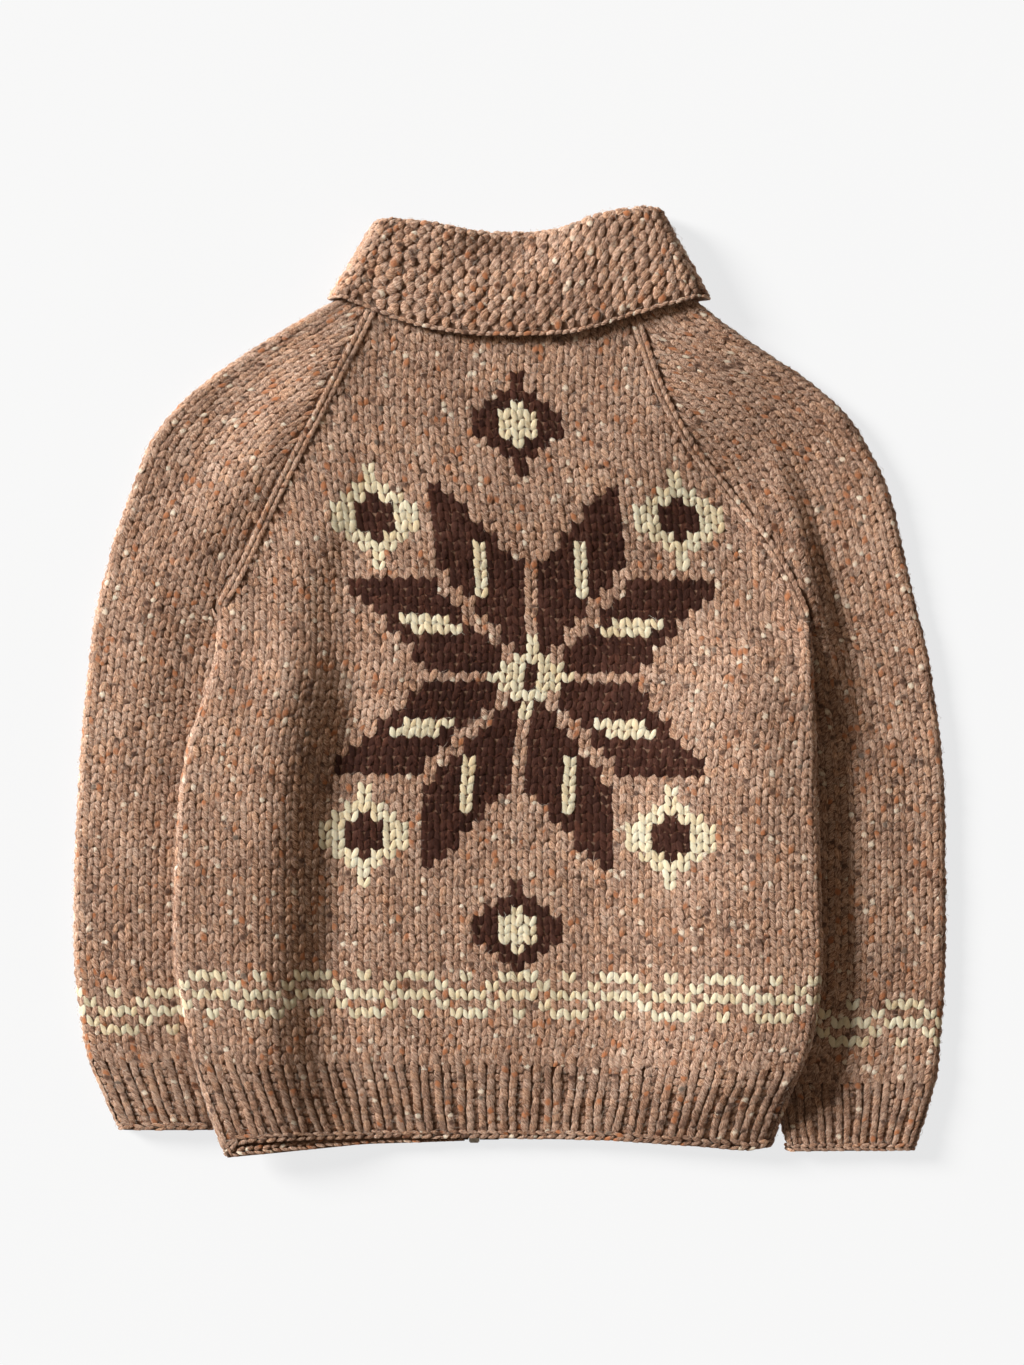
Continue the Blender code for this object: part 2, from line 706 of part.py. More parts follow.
def block(name, size, centre, material, collection):
    """A small metal block with rounded edges."""
    body = bmesh.new()
    bmesh.ops.create_cube(body, size=1.0, matrix=Matrix.Diagonal((*size, 1.0)))
    bmesh.ops.bevel(body, geom=body.edges[:], offset=METAL_EDGE, segments=2, affect="EDGES")
    bmesh.ops.transform(body, matrix=Matrix.Translation(centre), verts=body.verts)
    bmesh.ops.scale(body, vec=(MM, MM, MM), verts=body.verts)
    mesh = bpy.data.meshes.new(name)
    body.to_mesh(mesh)
    body.free()
    return add_object(name, mesh, material, collection)


def plate(name, outlines, thickness, rotation, location, material, collection):
    """A flat piece cut along closed outlines, drawn about its own origin."""
    curve = bpy.data.curves.new(name, "CURVE")
    curve.dimensions = "2D"
    curve.fill_mode = "BOTH"
    curve.extrude = thickness / 2 * MM
    for outline in outlines:
        spline = curve.splines.new("POLY")
        spline.points.add(len(outline) - 1)
        for corner, (x, y) in zip(spline.points, outline):
            corner.co = (x * MM, y * MM, 0.0, 1.0)
        spline.use_cyclic_u = True
    drawing = bpy.data.objects.new(name + "_outline", curve)
    collection.objects.link(drawing)
    drawing.rotation_euler = rotation
    drawing.location = Vector(location) * MM
    bpy.context.view_layer.update()
    mesh = bpy.data.meshes.new_from_object(drawing.evaluated_get(bpy.context.evaluated_depsgraph_get()))
    solid = bmesh.new()
    solid.from_mesh(mesh)
    bmesh.ops.remove_doubles(solid, verts=solid.verts, dist=WELD)
    solid.to_mesh(mesh)
    solid.free()
    part = bpy.data.objects.new(name, mesh)
    part.matrix_world = drawing.matrix_world
    mesh.materials.clear()
    mesh.materials.append(material)
    collection.objects.link(part)
    bpy.data.objects.remove(drawing)
    return part


def arch(half, drop, corner):
    """An arch's outline from one foot to the other, with cut corners."""
    return [(-half, BAIL_ROOT), (-half, corner - drop), (corner - half, -drop),
            (half - corner, -drop), (half, corner - drop), (half, BAIL_ROOT)]


def make_slider(metal, collection):
    """The slider's body with the bail that holds its pull."""
    body = block("zip_slider", SLIDER_SIZE, SLIDER_CENTRE, metal, collection)
    x, y, z = SLIDER_CENTRE
    outer = arch(BAIL_HALF + BAIL_WIRE / 2, BAIL_DROP + BAIL_WIRE / 2, BAIL_CORNER)
    inner = arch(BAIL_HALF - BAIL_WIRE / 2, BAIL_DROP - BAIL_WIRE / 2, BAIL_INNER_CORNER)
    outline = outer + list(reversed(inner))
    upright = (QUARTER, 0.0, QUARTER)
    foot = (x, y, z - SLIDER_SIZE[2] / 2)
    bail = plate("bail", [outline], BAIL_WIDTH, upright, foot, metal, collection)
    join = body.modifiers.new("bail", "BOOLEAN")
    join.operation = "UNION"
    join.object = bail
    bail.hide_render = True
    bail.display_type = "WIRE"


def make_pull(metal, collection):
    """The pull tab, whose end bar turns in the slider's bail."""
    bar = PULL_THICK / 2
    turns = [math.pi * k / PULL_TIP_STEPS for k in range(PULL_TIP_STEPS + 1)]
    tip = [(PULL_HALF * math.cos(a), PULL_HALF - PULL_LENGTH - PULL_HALF * math.sin(a)) for a in turns]
    outer = [(PULL_CORNER - PULL_HALF, bar), (PULL_HALF - PULL_CORNER, bar)] + tip
    eye = [(-PULL_EYE_HALF, -bar), (PULL_EYE_HALF, -bar),
           (PULL_EYE_HALF, -bar - PULL_EYE_LENGTH), (-PULL_EYE_HALF, -bar - PULL_EYE_LENGTH)]
    plate("zip_pull", [outer, eye], PULL_THICK, (PULL_SLOPE, 0.0, 0.0), PULL_AXIS, metal, collection)


def main():
    for old in list(bpy.data.objects):
        bpy.data.objects.remove(old)
    sweater = bpy.data.collections.new("cowichan_sweater")
    bpy.context.scene.collection.children.link(sweater)
    make_back(finish("back_wool", TWEED, WOOL_ROUGHNESS), sweater)
    make_back_welt(finish("back_welt_wool", TWEED, WOOL_ROUGHNESS), sweater)
    for side in ("left", "right"):
        make_front(side, finish("front_" + side + "_wool", TWEED, WOOL_ROUGHNESS), sweater)
        make_front_welt(side, finish("front_" + side + "_welt_wool", TWEED, WOOL_ROUGHNESS), sweater)
        make_sleeve(side, finish("sleeve_" + side + "_wool", TWEED, WOOL_ROUGHNESS), sweater)
        make_cuff(side, finish("cuff_" + side + "_wool", TWEED, WOOL_ROUGHNESS), sweater)
        make_tape(side, finish("zip_tape_" + side + "_cloth", TAPE_CLOTH, TAPE_ROUGHNESS), sweater)
    make_collar(finish("collar_wool", TWEED, WOOL_ROUGHNESS), sweater)
    zip_strip("zip_chain", -CHAIN_HALF, CHAIN_HALF, CHAIN_LOW, CHAIN_HIGH, CHAIN_ENDS,
              finish("zip_chain_metal", METAL, METAL_ROUGHNESS, 1.0), sweater)
    box_centre = (zip_x(BOX_Y), BOX_Y, (CHAIN_LOW + CHAIN_HIGH) / 2)
    block("zip_box", BOX_SIZE, box_centre, finish("zip_box_metal", METAL, METAL_ROUGHNESS, 1.0), sweater)
    make_slider(finish("zip_slider_metal", METAL, METAL_ROUGHNESS, 1.0), sweater)
    make_pull(finish("zip_pull_metal", METAL, METAL_ROUGHNESS, 1.0), sweater)


main()
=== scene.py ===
"""The wool, zip and stage of a child's cowichan sweater that lies on its front.

The sweater is dressed stitch by stitch. Each knitted panel has a function that says where its
wale u and course v lie, and every strand of yarn is a small lens laid on that function. Sizes
are in millimetres up to the last step, which turns them into metres.
"""
import math

import bmesh
import bpy
import numpy as np
from bpy.props import FloatProperty, FloatVectorProperty, IntProperty, PointerProperty
from mathutils import Matrix, Vector


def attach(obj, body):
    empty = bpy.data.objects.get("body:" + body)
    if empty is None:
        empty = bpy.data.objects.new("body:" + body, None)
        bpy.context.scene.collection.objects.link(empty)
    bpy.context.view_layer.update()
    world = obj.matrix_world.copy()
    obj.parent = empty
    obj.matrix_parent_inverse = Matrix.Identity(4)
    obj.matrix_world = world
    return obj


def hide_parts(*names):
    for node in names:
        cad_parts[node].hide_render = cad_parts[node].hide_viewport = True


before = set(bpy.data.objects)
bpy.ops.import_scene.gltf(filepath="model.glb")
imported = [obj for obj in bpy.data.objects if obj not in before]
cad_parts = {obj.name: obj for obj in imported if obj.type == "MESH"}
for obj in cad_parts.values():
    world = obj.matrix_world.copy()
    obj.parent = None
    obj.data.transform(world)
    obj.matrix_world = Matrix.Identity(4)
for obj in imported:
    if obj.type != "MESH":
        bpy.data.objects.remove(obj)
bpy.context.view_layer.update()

bl_info = {
    "name": "Cowichan sweater",
    "version": (1, 0, 0),
    "blender": (4, 5, 0),
    "location": "View3D > Sidebar > Sweater",
    "description": "Knits the stitches, zip and stage of a laid cowichan sweater",
    "category": "Object",
}

MM = 0.001
GARMENT = "garment"
QUARTER = math.pi / 2
INWARD = {"left": 1.0, "right": -1.0}       # along X, from a side's edge to the middle


class Sizes:
    """Named sizes that belong together."""

    def __init__(self, **sizes):
        self.__dict__.update(sizes)


# Cloth: the wall's thickness, the room in its turns, and the table rows where panels change
WALL = 4.5
TURN = 0.8
OUTER_TURN = TURN + WALL
AXIS = OUTER_TURN
RIB_TOP, UNDERARM, NECK = 1, 10, 19
NECK_Y = 223.0
BODY_RISE = 2 * OUTER_TURN + 0.3

# How the body comes down off each sleeve: level so far in, reach of the slope, its skew, its height
FRONT_SLOPES = {"left": (19.0, 60.0, 1.0, 1.0), "right": (19.0, 52.0, 1.0, 1.0)}
BACK_SLOPES = {"left": (19.0, 74.0, 1.5, 1.0), "right": (30.0, 110.0, 1.0, 1.3)}
COLLAR_RISE = OUTER_TURN

# At the hem: a height or share, and where it starts and is full, in -Y and then in -X
HEM_FALL, FALL_ROWS = 1.8, (215.0, 270.0)                                   # the back sinks
HEM_LIFT, LIFT_ROWS = 0.8, (225.0, 262.0)                                   # the fronts go with it
HEM_FLARE, FLARE_ROWS, FLARE_SIDE = 3.2, (264.5, 270.0), (20.0, 60.0)       # their hem turns up

# The collar's front fall under the shoulders: an oval, its level part, and where its slope ends
FALL_CENTRE, FALL_HALF = (2.3, 227.0), (110.2, 104.4)
FALL_LEVEL, FALL_END = 1.05, 1.7

CROWN_FULL = 0.45           # how far across the right sleeve its top has sunk fully
SOFT_FLOOR = (-1.5, 2.0)    # a sleeve lies flat on its lower layer: from here, and how much further
COLLAR_AXIS = 2 * OUTER_TURN
FOLD_RADIUS = WALL + TURN / 2
COLLAR_MID = OUTER_TURN + TURN / 2
COLLAR_SAG = Sizes(depth=8.0, centre=4.8, half=46.0, rows=(227.0, 256.0))
ZIP_TOP, ZIP_FOOT = (2.3, 177.8), (-20.9, -267.5)
OPENING_HALF = 5.5


def table(columns, *rows):
    """A table's columns by name, one number for each row."""
    return dict(zip(columns.split(), np.array(rows, float).T))


BODY = table(
    "left_x left_y right_x right_y",
    (-165.5, -275.0, 152.5, -270.0),
    (-184.0, -220.0, 169.5, -224.5),
    (-188.0, -199.0, 176.5, -202.0),
    (-195.0, -161.5, 181.5, -164.5),
    (-195.0, -115.0, 180.5, -118.0),
    (-192.0, -66.0, 178.5, -68.5),
    (-187.5, -37.0, 178.0, -39.5),
    (-178.0, -8.0, 177.0, -10.5),
    (-171.5, 19.5, 176.0, 15.5),
    (-172.0, 35.5, 175.5, 28.5),
    (-172.5, 43.0, 175.0, 35.5),
    (-163.5, 59.0, 166.5, 57.0),
    (-153.5, 79.0, 154.5, 78.5),
    (-144.0, 99.5, 140.5, 97.0),
    (-134.0, 120.0, 126.5, 114.5),
    (-123.5, 140.0, 111.5, 133.0),
    (-112.5, 160.5, 98.5, 153.0),
    (-101.5, 182.0, 88.0, 175.0),
    (-91.5, 201.0, 80.0, 198.0),
    (-81.0, NECK_Y, 71.5, NECK_Y),
)
HEM_BACK = table(
    "across y",
    (0.0, -275.0), (0.03, -267.5), (0.12, -265.5), (0.45, -265.5),
    (0.7, -266.5), (0.87, -270.0), (0.95, -272.5), (1.0, -270.0),
)
HEM_FRONT = table(
    "across y",
    (0.0, -275.5), (0.14, -271.5), (0.25, -269.0), (0.46, -267.5), (0.49, -266.0),
    (0.7, -266.0), (0.87, -269.5), (0.95, -272.0), (1.0, -270.0),
)


def cap(side, *rows):
    """A sleeve cap's rows, from its outer x, y and crown. Its inner edge is the raglan edge."""
    edge = zip(BODY[side + "_x"][UNDERARM:], BODY[side + "_y"][UNDERARM:])
    return [(x, y, *inner, crown) for (x, y, crown), inner in zip(rows, edge)]


SLEEVE_COLUMNS = "outer_x outer_y inner_x inner_y crown"
SLEEVES = {
    "left": table(
        SLEEVE_COLUMNS,
        (-228.0, -260.5, -171.5, -260.5, 1.0),
        (-245.5, -220.0, -177.5, -220.0, 1.6),
        (-250.5, -193.5, -180.0, -193.5, 2.0),
        (-254.0, -161.5, -182.0, -161.5, 2.0),
        (-254.0, -115.0, -182.0, -115.0, 2.0),
        (-252.0, -66.0, -184.0, -67.5, 2.2),
        (-249.5, -31.0, -180.5, -35.0, 2.2),
        (-246.0, 6.5, -172.5, -8.0, 2.2),
        (-242.5, 35.5, -166.5, 19.5, 2.2),
        (-238.5, 54.0, -168.5, 35.5, 2.2),
        *cap("left", (-236.0, 62.0, 2.2), (-230.5, 84.0, 2.2), (-225.0, 99.5, 2.0), (-218.0, 119.0, 1.8),
             (-209.5, 140.0, 1.6), (-192.5, 161.5, 1.2), (-171.0, 179.5, 0.8), (-146.0, 196.0, 0.4),
             (-122.0, 210.0, 0.0), (-98.8, NECK_Y, 0.0)),
    ),
    "right": table(
        SLEEVE_COLUMNS,
        (235.5, -272.5, 160.5, -273.0, -0.8),
        (248.0, -233.0, 154.5, -233.0, -1.8),
        (252.0, -196.5, 168.0, -196.5, -2.4),
        (254.0, -161.5, 166.5, -161.5, -2.6),
        (254.0, -118.0, 166.5, -118.0, -2.6),
        (253.5, -68.5, 168.0, -68.5, -2.6),
        (251.0, -34.0, 170.5, -37.0, -2.6),
        (247.0, -5.0, 172.0, -10.5, -2.6),
        (243.0, 19.5, 170.5, 15.5, -2.6),
        (237.0, 42.5, 171.0, 28.5, -2.6),
        *cap("right", (235.5, 50.0, -2.5), (230.5, 71.5, -2.2), (225.5, 93.5, -1.7), (220.5, 112.0, -1.2),
             (211.5, 131.5, -0.7), (197.0, 154.5, -0.3), (177.0, 173.0, 0.0), (152.0, 189.5, 0.0),
             (126.0, 207.0, 0.0), (106.2, NECK_Y, 0.0)),
    ),
}
SIDE_RISE = table(
    "y left right",
    (-276.0, 0.8, 0.15), (-258.0, 1.0, 0.45), (-232.0, 1.0, 1.0), (-30.0, 1.0, 1.0),
    (-17.0, 0.94, 0.98), (-5.0, 0.81, 0.91), (7.0, 0.61, 0.75), (19.0, 0.38, 0.51),
    (30.0, 0.18, 0.29), (41.0, 0.06, 0.12), (52.0, 0.01, 0.03), (64.0, 0.0, 0.0),
)
FOLDS = table(
    "x1 y1 x2 y2 width height",
    (-152.0, 88.0, -170.0, -40.0, 11.0, 1.6),
    (-138.0, 70.0, -136.0, -150.0, 20.0, 1.5),
    (-30.0, 120.0, -52.0, -60.0, 26.0, 0.9),
    (138.0, 78.0, 150.0, -110.0, 17.0, 1.4),
    (60.0, -60.0, 74.0, -225.0, 22.0, 1.1),
    (-200.0, 110.0, -226.0, -60.0, 13.0, 0.8),
    (172.0, 140.0, 214.0, 40.0, 14.0, 0.8),
    (187.0, 60.0, 180.0, -310.0, 18.0, -1.0),
    (203.0, 140.0, 212.0, -280.0, 20.0, 2.3),
    (182.0, 0.0, 130.0, 125.0, 10.0, 2.6),
)
FOLD_FADE = 0.35
BANK_COLUMNS = "y x steep near far"
BANKS = (           # where the upper layer goes down to the right, or up if steep is below 0
    table(
        BANK_COLUMNS,
        (-275.0, -117.0, 0.08, 24.0, 15.0), (-230.0, -122.0, 0.14, 24.0, 17.0),
        (-180.0, -124.0, 0.20, 25.0, 19.0), (-130.0, -112.0, 0.22, 28.0, 20.0),
        (-85.0, -112.0, 0.20, 28.0, 17.0), (-35.0, -104.0, 0.24, 27.0, 19.0),
        (40.0, -111.0, 0.24, 26.0, 20.0), (105.0, -95.0, 0.16, 22.0, 18.0),
        (150.0, -90.0, 0.0, 22.0, 14.0),
    ),
    table(
        BANK_COLUMNS,
        (-50.0, 198.0, 0.0, 14.0, 24.0), (0.0, 194.0, 0.36, 15.0, 24.0),
        (25.0, 191.0, 0.58, 16.0, 24.0), (50.0, 185.0, 0.64, 16.0, 24.0),
        (75.0, 179.0, 0.62, 15.0, 24.0), (100.0, 170.0, 0.50, 12.0, 22.0),
        (125.0, 161.0, 0.28, 10.0, 20.0), (150.0, 152.0, 0.0, 10.0, 16.0),
    ),
    table(
        BANK_COLUMNS,
        (20.0, -200.0, 0.0, 30.0, 20.0), (75.0, -192.0, -0.11, 34.0, 24.0),
        (120.0, -167.0, -0.20, 38.0, 26.0), (160.0, -139.0, -0.20, 38.0, 24.0),
        (195.0, -110.0, -0.13, 30.0, 20.0), (225.0, -84.0, 0.0, 22.0, 18.0),
    ),
)
COLLAR_COLUMNS = "seam_x seam_y fold_x fold_y edge_x edge_y"
COLLAR_SIDES = {    # where the collar turns under, to its front halves
    "left": (-93.5, NECK_Y, -70.5, 264.5, -96.2, 221.5),
    "right": (100.9, NECK_Y, 80.0, 271.2, 107.0, 221.5),
}
COLLAR_BACK = table(
    COLLAR_COLUMNS,
    COLLAR_SIDES["left"],
    (-62.0, NECK_Y, -45.4, 261.6, -62.0, 207.8),
    (-31.3, NECK_Y, -20.3, 257.3, -28.0, 200.7),
    (1.8, NECK_Y, 4.8, 256.7, 5.5, 199.6),
    (34.8, NECK_Y, 29.8, 259.2, 39.0, 201.8),
    (67.9, NECK_Y, 54.9, 267.2, 73.0, 211.7),
    COLLAR_SIDES["right"],
)
COLLAR_FRONT = {
    "left": table(
        COLLAR_COLUMNS,
        COLLAR_SIDES["left"],
        (-48.35, 200.4, -45.5, 214.5, -68.5, 149.0),
        (-3.2, 177.8, -4.5, 184.0, -25.5, 127.5),
    ),
    "right": table(
        COLLAR_COLUMNS,
        COLLAR_SIDES["right"],
        (54.35, 200.4, 50.0, 214.5, 73.0, 149.0),
        (7.8, 177.8, 9.0, 184.0, 30.0, 127.5),
    ),
}

# Gauge: courses upward, wales and ribs across
COURSE = 5.43
WALES = 48                              # across the flat of the back
BACK_PITCH = ((RIB_TOP, 7.14), (3, 7.45), (UNDERARM, 7.3), (NECK, 7.5))
BACK_WALE, FRONT_WALE, SLEEVE_PITCH = 7.4, 7.2, 7.6
FRONT_WALES = 24
RIB_COURSES = 9
WELT_RIBS = 26
WELT_RIB, FRONT_RIB, CUFF_MEAN_RIB = 13.2, 12.8, 11.8
CUFF_RIB = {"left": (11.7, 13.0), "right": (9.2, 12.0)}     # width at the end and at the top
FIRST_VALLEY, CUFF_VALLEYS = {"left": 0.55, "right": 0.35}, 9     # each way from the outer fold
COLLAR_FALL, COLLAR_STAND = 56.0, 34.0
COLLAR_PAST = 1.05                      # the collar's surface goes on so far past its edge
COLLAR_WIDTH = (150.5, 203.0)           # these three are at the fold and at the edge
COLLAR_FRONT_REACH = (107.0, 126.0)
COLLAR_RIDGE = (6.7, 7.3)
MEAN_RIDGE = 7.0
LEVEL_ANGLE = 0.01                      # the collar's side is still level, in radians
CHAIN_FACE = 3.2
TURN_LENGTH = OUTER_TURN * QUARTER      # round a quarter of a side fold
EDGE_STEP = 3.0                         # how far each way the raglan edge's direction is felt
RAGLAN_BAND, RAGLAN_SLOPE = 7.0, 0.88   # the band's width, and the cosine of its lean
RAGLAN_CORD = {"left": (4.1, 1.15), "right": (3.3, 1.0)}       # from the edge to its middle, and bulk
# painted shade: the share of the tweed's colours that the ribs' yarn keeps, darker for their depth
RIB_SHADE = 0.86
INNER_CHAIN = 3.4                       # sinks the chain on a hem's inner face
UNDER_SINK = 0.3                        # sinks the stitches under the sweater
SETTLE = 0.5 * MM                       # below this height the wool is pressed flat
WAVE_ON_BODY, WAVE_ON_FRONT = (5, 0), (5, 3)            # first course, and the repeat's shift
WAVE_ON_SLEEVE = {"left": (3, 2), "right": (4, 6)}
YOKE_COURSE = 38                        # the back's stitches are two pieces, which meet here
NAP = 0.66                              # how far fuzz evens the shading of each strand
TWIST = 0.6                             # how steeply the fibres wind round a strand
FLECK = (0.095, 0.06, 0.075)            # how many legs hold a rust, cream and dark fleck
HAIRS = Sizes(back=9000, welt=1200, sleeve=2600, cuff=300, collar=1800)
HAIRS_FROM = Sizes(sleeve=-1.0, cuff=-0.6, collar=-10.0)   # wale, rib and mm where they start to show

# Grid of the cloth under the stitches: rows up a panel, steps across it, and its mean width
BACK_GRID, FRONT_GRID, SLEEVE_GRID = (46, 44), (40, 18), (50, 26)
BACK_WIDE, FRONT_WIDE, WELT_WIDE, SLEEVE_WIDE = 365.0, 175.0, 345.0, (150.0, 170.0)
WELT_STEPS, HALF_WELT_STEPS, CUFF_STEPS, COLLAR_STEPS = 40, 18, 18, 64
RIB_LEVELS = np.linspace(-RIB_COURSES, 0.0, 7)
COLLAR_ROWS, COLLAR_FIRST = (4, 7, 7), 9.0      # down the stand, over the fold, down the fall
CUFF_BENDS = ((0.0, 0.06), (0.44, 0.56), (0.94, 1.0))
COLLAR_BENDS = ((0.3, 0.36), (0.36, 0.42), (0.58, 0.64), (0.64, 0.7))

# Camera: it looks straight down, and sees VIEW_HEIGHT at VIEW_LEVEL over the floor, in metres
LENS, SENSOR = 85.0, 36.0
VIEW_CENTRE, VIEW_HEIGHT, VIEW_LEVEL = (0.0012, -0.0006), 0.7917, 0.011
VIEW_FAR = 100.0

# Floor in metres, and lights: the sun falls from the left, rise and turn in degrees
FLOOR = Sizes(half=40.0, drop=0.0005, glow=0.772, glow_colour=(0.98, 0.99, 1.0, 1.0))
SUN = Sizes(strength=7.3, width=18, rise=23, turn=26, colour=(1.0, 0.985, 0.96))
SKY = Sizes(strength=0.2, colour=(1.0, 0.80, 0.62, 1.0))

# Top and bottom of the cloth under the stitches, over the outer face
STITCH_GROUND = (-1.3, -4.4)
RIB_GROUND = (-2.3, -4.4)
GARTER_GROUND = (-1.6, -4.4)


def between(ends, level):
    """Go evenly from the first of two ends, at level 0, to the second, at level 1."""
    return ends[0] + (ends[1] - ends[0]) * level


def smooth(value, start, end):
    """Rise from 0 to 1 between start and end, level at both."""
    t = np.clip((value - start) / (end - start), 0.0, 1.0)
    return t * t * (3.0 - 2.0 * t)


def read(rows, column, row):
    """Read a table's column at any row, on a smooth curve through its rows."""
    values = rows[column]
    last = len(values) - 1
    first = np.clip(np.floor(row).astype(int), 0, last - 1)
    t = row - first
    a, b, c, d = (values[np.clip(first + k, 0, last)] for k in (-1, 0, 1, 2))
    cubic = (3 * b - a - 3 * c + d) * t ** 3
    square = (2 * a - 5 * b + 4 * c - d) * t ** 2
    return b + 0.5 * ((c - a) * t + square + cubic)


def read_point(rows, name, row):
    """Read a point's two columns at once."""
    return np.stack([read(rows, name + "_x", row), read(rows, name + "_y", row)], axis=1)


def length(vectors):
    return np.hypot(vectors[:, 0], vectors[:, 1])


def collar_rise(x, y):
    """Height given by the collar's front fall, which lies under the fronts."""
    away = np.hypot((x - FALL_CENTRE[0]) / FALL_HALF[0], (y - FALL_CENTRE[1]) / FALL_HALF[1])
    return COLLAR_RISE * (1.0 - smooth(away, FALL_LEVEL, FALL_END))


def side_rise(x, y, slopes=FRONT_SLOPES):
    """Height given to the body's edges by the sleeves that lie under them."""
    total = 0.0
    for side, (level_to, reach, skew, height) in slopes.items():
        edge = np.interp(y, BODY[side + "_y"], BODY[side + "_x"])
        share = np.clip(((x - edge) * INWARD[side] - level_to) / reach, 0.0, 1.0)
        level = height - height * smooth(share ** skew, 0.0, 1.0)
        total = total + BODY_RISE * level * np.interp(y, SIDE_RISE["y"], SIDE_RISE[side])
    return total


def back_rise(x, y):
    """Height of the back over a flat one: its folds, and what the sleeves and collar give it."""
    rise = folds(x, y) + side_rise(x, y, BACK_SLOPES) + collar_rise(x, y)
    return rise - HEM_FALL * smooth(-y, *FALL_ROWS)


def front_rise(x, y):
    """Height of the fronts over flat ones. At the hem they lift with the back."""
    rise = side_rise(x, y)
    lift = np.maximum(side_rise(x, y, BACK_SLOPES) - rise, 0.0)
    flare = HEM_FLARE * smooth(-y, *FLARE_ROWS) * smooth(-x, *FLARE_SIDE)
    return rise + HEM_LIFT * lift * smooth(-y, *LIFT_ROWS) + flare + collar_rise(x, y)


def folds(x, y):
    """Height of the soft ridges and banks in the upper layer."""
    total = np.zeros_like(x)
    for x1, y1, x2, y2, width, height in zip(*FOLDS.values()):
        along = np.array((x2 - x1, y2 - y1))
        t = ((x - x1) * along[0] + (y - y1) * along[1]) / (along @ along)
        across = np.hypot(x - x1 - t * along[0], y - y1 - t * along[1]) / width
        ends = smooth(t, 0.0, FOLD_FADE) * (1.0 - smooth(t, 1.0 - FOLD_FADE, 1.0))
        total += height * ends * np.exp(-across * across)
    for bank in BANKS:
        columns = [np.interp(y, bank["y"], bank[name]) for name in ("x", "steep", "near", "far")]
        middle, steep, near, far = columns
        away = x - middle
        total -= steep * away * np.exp(-(away / np.where(away < 0.0, near, far)) ** 2)
    return total


class Courses:
    """Turns a course of a panel into a row of its table."""

    def __init__(self, course, distance_at):
        self.rows = np.linspace(RIB_TOP, NECK, 500)
        self.distance = distance_at(self.rows)
        self.course = course
        self.count = self.distance[-1] / course
        self.low_rows = np.linspace(0.0, RIB_TOP, 60)
        self.low = distance_at(self.low_rows)

    def row(self, v):
        knitted = np.interp(v * self.course, self.distance, self.rows)
        height = np.maximum(1.0 + v / RIB_COURSES, 0.0) * self.low[-1]
        return np.where(v < 0.0, np.interp(height, self.low, self.low_rows), knitted)

    def at_row(self, row):
        return float(np.interp(row, self.rows, self.distance)) / self.course


def body_distance(rows):
    """Height over the hem rib, midway across the body."""
    y = (read(BODY, "left_y", rows) + read(BODY, "right_y", rows)) / 2
    return y - y[0]


def sleeve_distance(side):
    """Length along a sleeve's outer fold, over its cuff."""
    def distance(rows):
        step = np.diff(read_point(SLEEVES[side], "outer", rows), axis=0)
        return np.concatenate([[0.0], np.cumsum(length(step))])
    return distance


BODY_COURSES = Courses(COURSE, body_distance)
SLEEVE_COURSES = {side: Courses(COURSE, sleeve_distance(side)) for side in SLEEVES}


def curl_at(row):
    """How far the side edges turn down: a quarter turn, and none above the underarm."""
    return QUARTER * np.clip(UNDERARM - row, 0.0, 1.0)


def over_edge(reach, flat_end, lift, curl):
    """Carry a reach past flat_end round a side fold: the plan reach, and the height."""
    radius = OUTER_TURN + lift
    angle = np.clip((reach - flat_end) / OUTER_TURN, 0.0, curl)
    return np.where(angle > 0.0, flat_end + radius * np.sin(angle), reach), radius * np.cos(angle)


def drop_hem(x, left, right, hem):
    """Move the rib's rows from the straight line between their ends to the hem's shape."""
    share = (x - left[:, 0]) / (right[:, 0] - left[:, 0])
    straight = left[:, 1] + share * (right[:, 1] - left[:, 1])
    foot, top = ((BODY["left_y"][k] + BODY["right_y"][k]) / 2 for k in (0, RIB_TOP))
    height = (left[:, 1] + right[:, 1]) / 2 - foot
    fall = np.clip(1.0 - height / (top - foot), 0.0, 1.0)
    return (np.interp(share, hem["across"], hem["y"]) - straight + height) * fall


def lay(point, height, rise):
    return np.column_stack([point, AXIS + height + rise]) * MM


def back_pitch(row, width):
    """Width of a wale of the back: shares of the rib's width, then steady."""
    steady = np.interp(row, *zip(*BACK_PITCH))
    return np.where(row < RIB_TOP, (width - 2 * OUTER_TURN) / WALES, steady)


def back_at(u, v, lift):
    """Where wale u and course v of the back lie, lift over its outer face."""
    row = BODY_COURSES.row(v)
    left, right = read_point(BODY, "left", row), read_point(BODY, "right", row)
    width = length(right - left)
    along = (right - left) / width[:, None]
    from_middle = (u - WALES / 2) * back_pitch(row, width)
    curl = curl_at(row)
    flat_end = width / 2 - OUTER_TURN * np.sin(curl)
    reach, height = over_edge(np.abs(from_middle), flat_end, lift, curl)
    point = (left + right) / 2 + along * (np.sign(from_middle) * reach)[:, None]
    point[:, 1] += drop_hem(point[:, 0], left, right, HEM_BACK)
    return lay(point, height, back_rise(*point.T))


def turned(curl):
    """How much longer a layer is than its plan, where its edge turns down."""
    return OUTER_TURN * (curl - np.sin(curl))


def back_span(v):
    """The wales at which the back ends at a course, left and right."""
    row = BODY_COURSES.row(v)
    width = length(read_point(BODY, "right", row) - read_point(BODY, "left", row))
    half = (width / 2 + turned(curl_at(row))) / back_pitch(row, width)
    return WALES / 2 - half, WALES / 2 + half


def welt_at(u, v, lift):
    """The back's rib, by ribs instead of wales."""
    return back_at(u * WALES / WELT_RIBS, v, lift)


def welt_span(v):
    low, high = back_span(v)
    return low * WELT_RIBS / WALES, high * WELT_RIBS / WALES


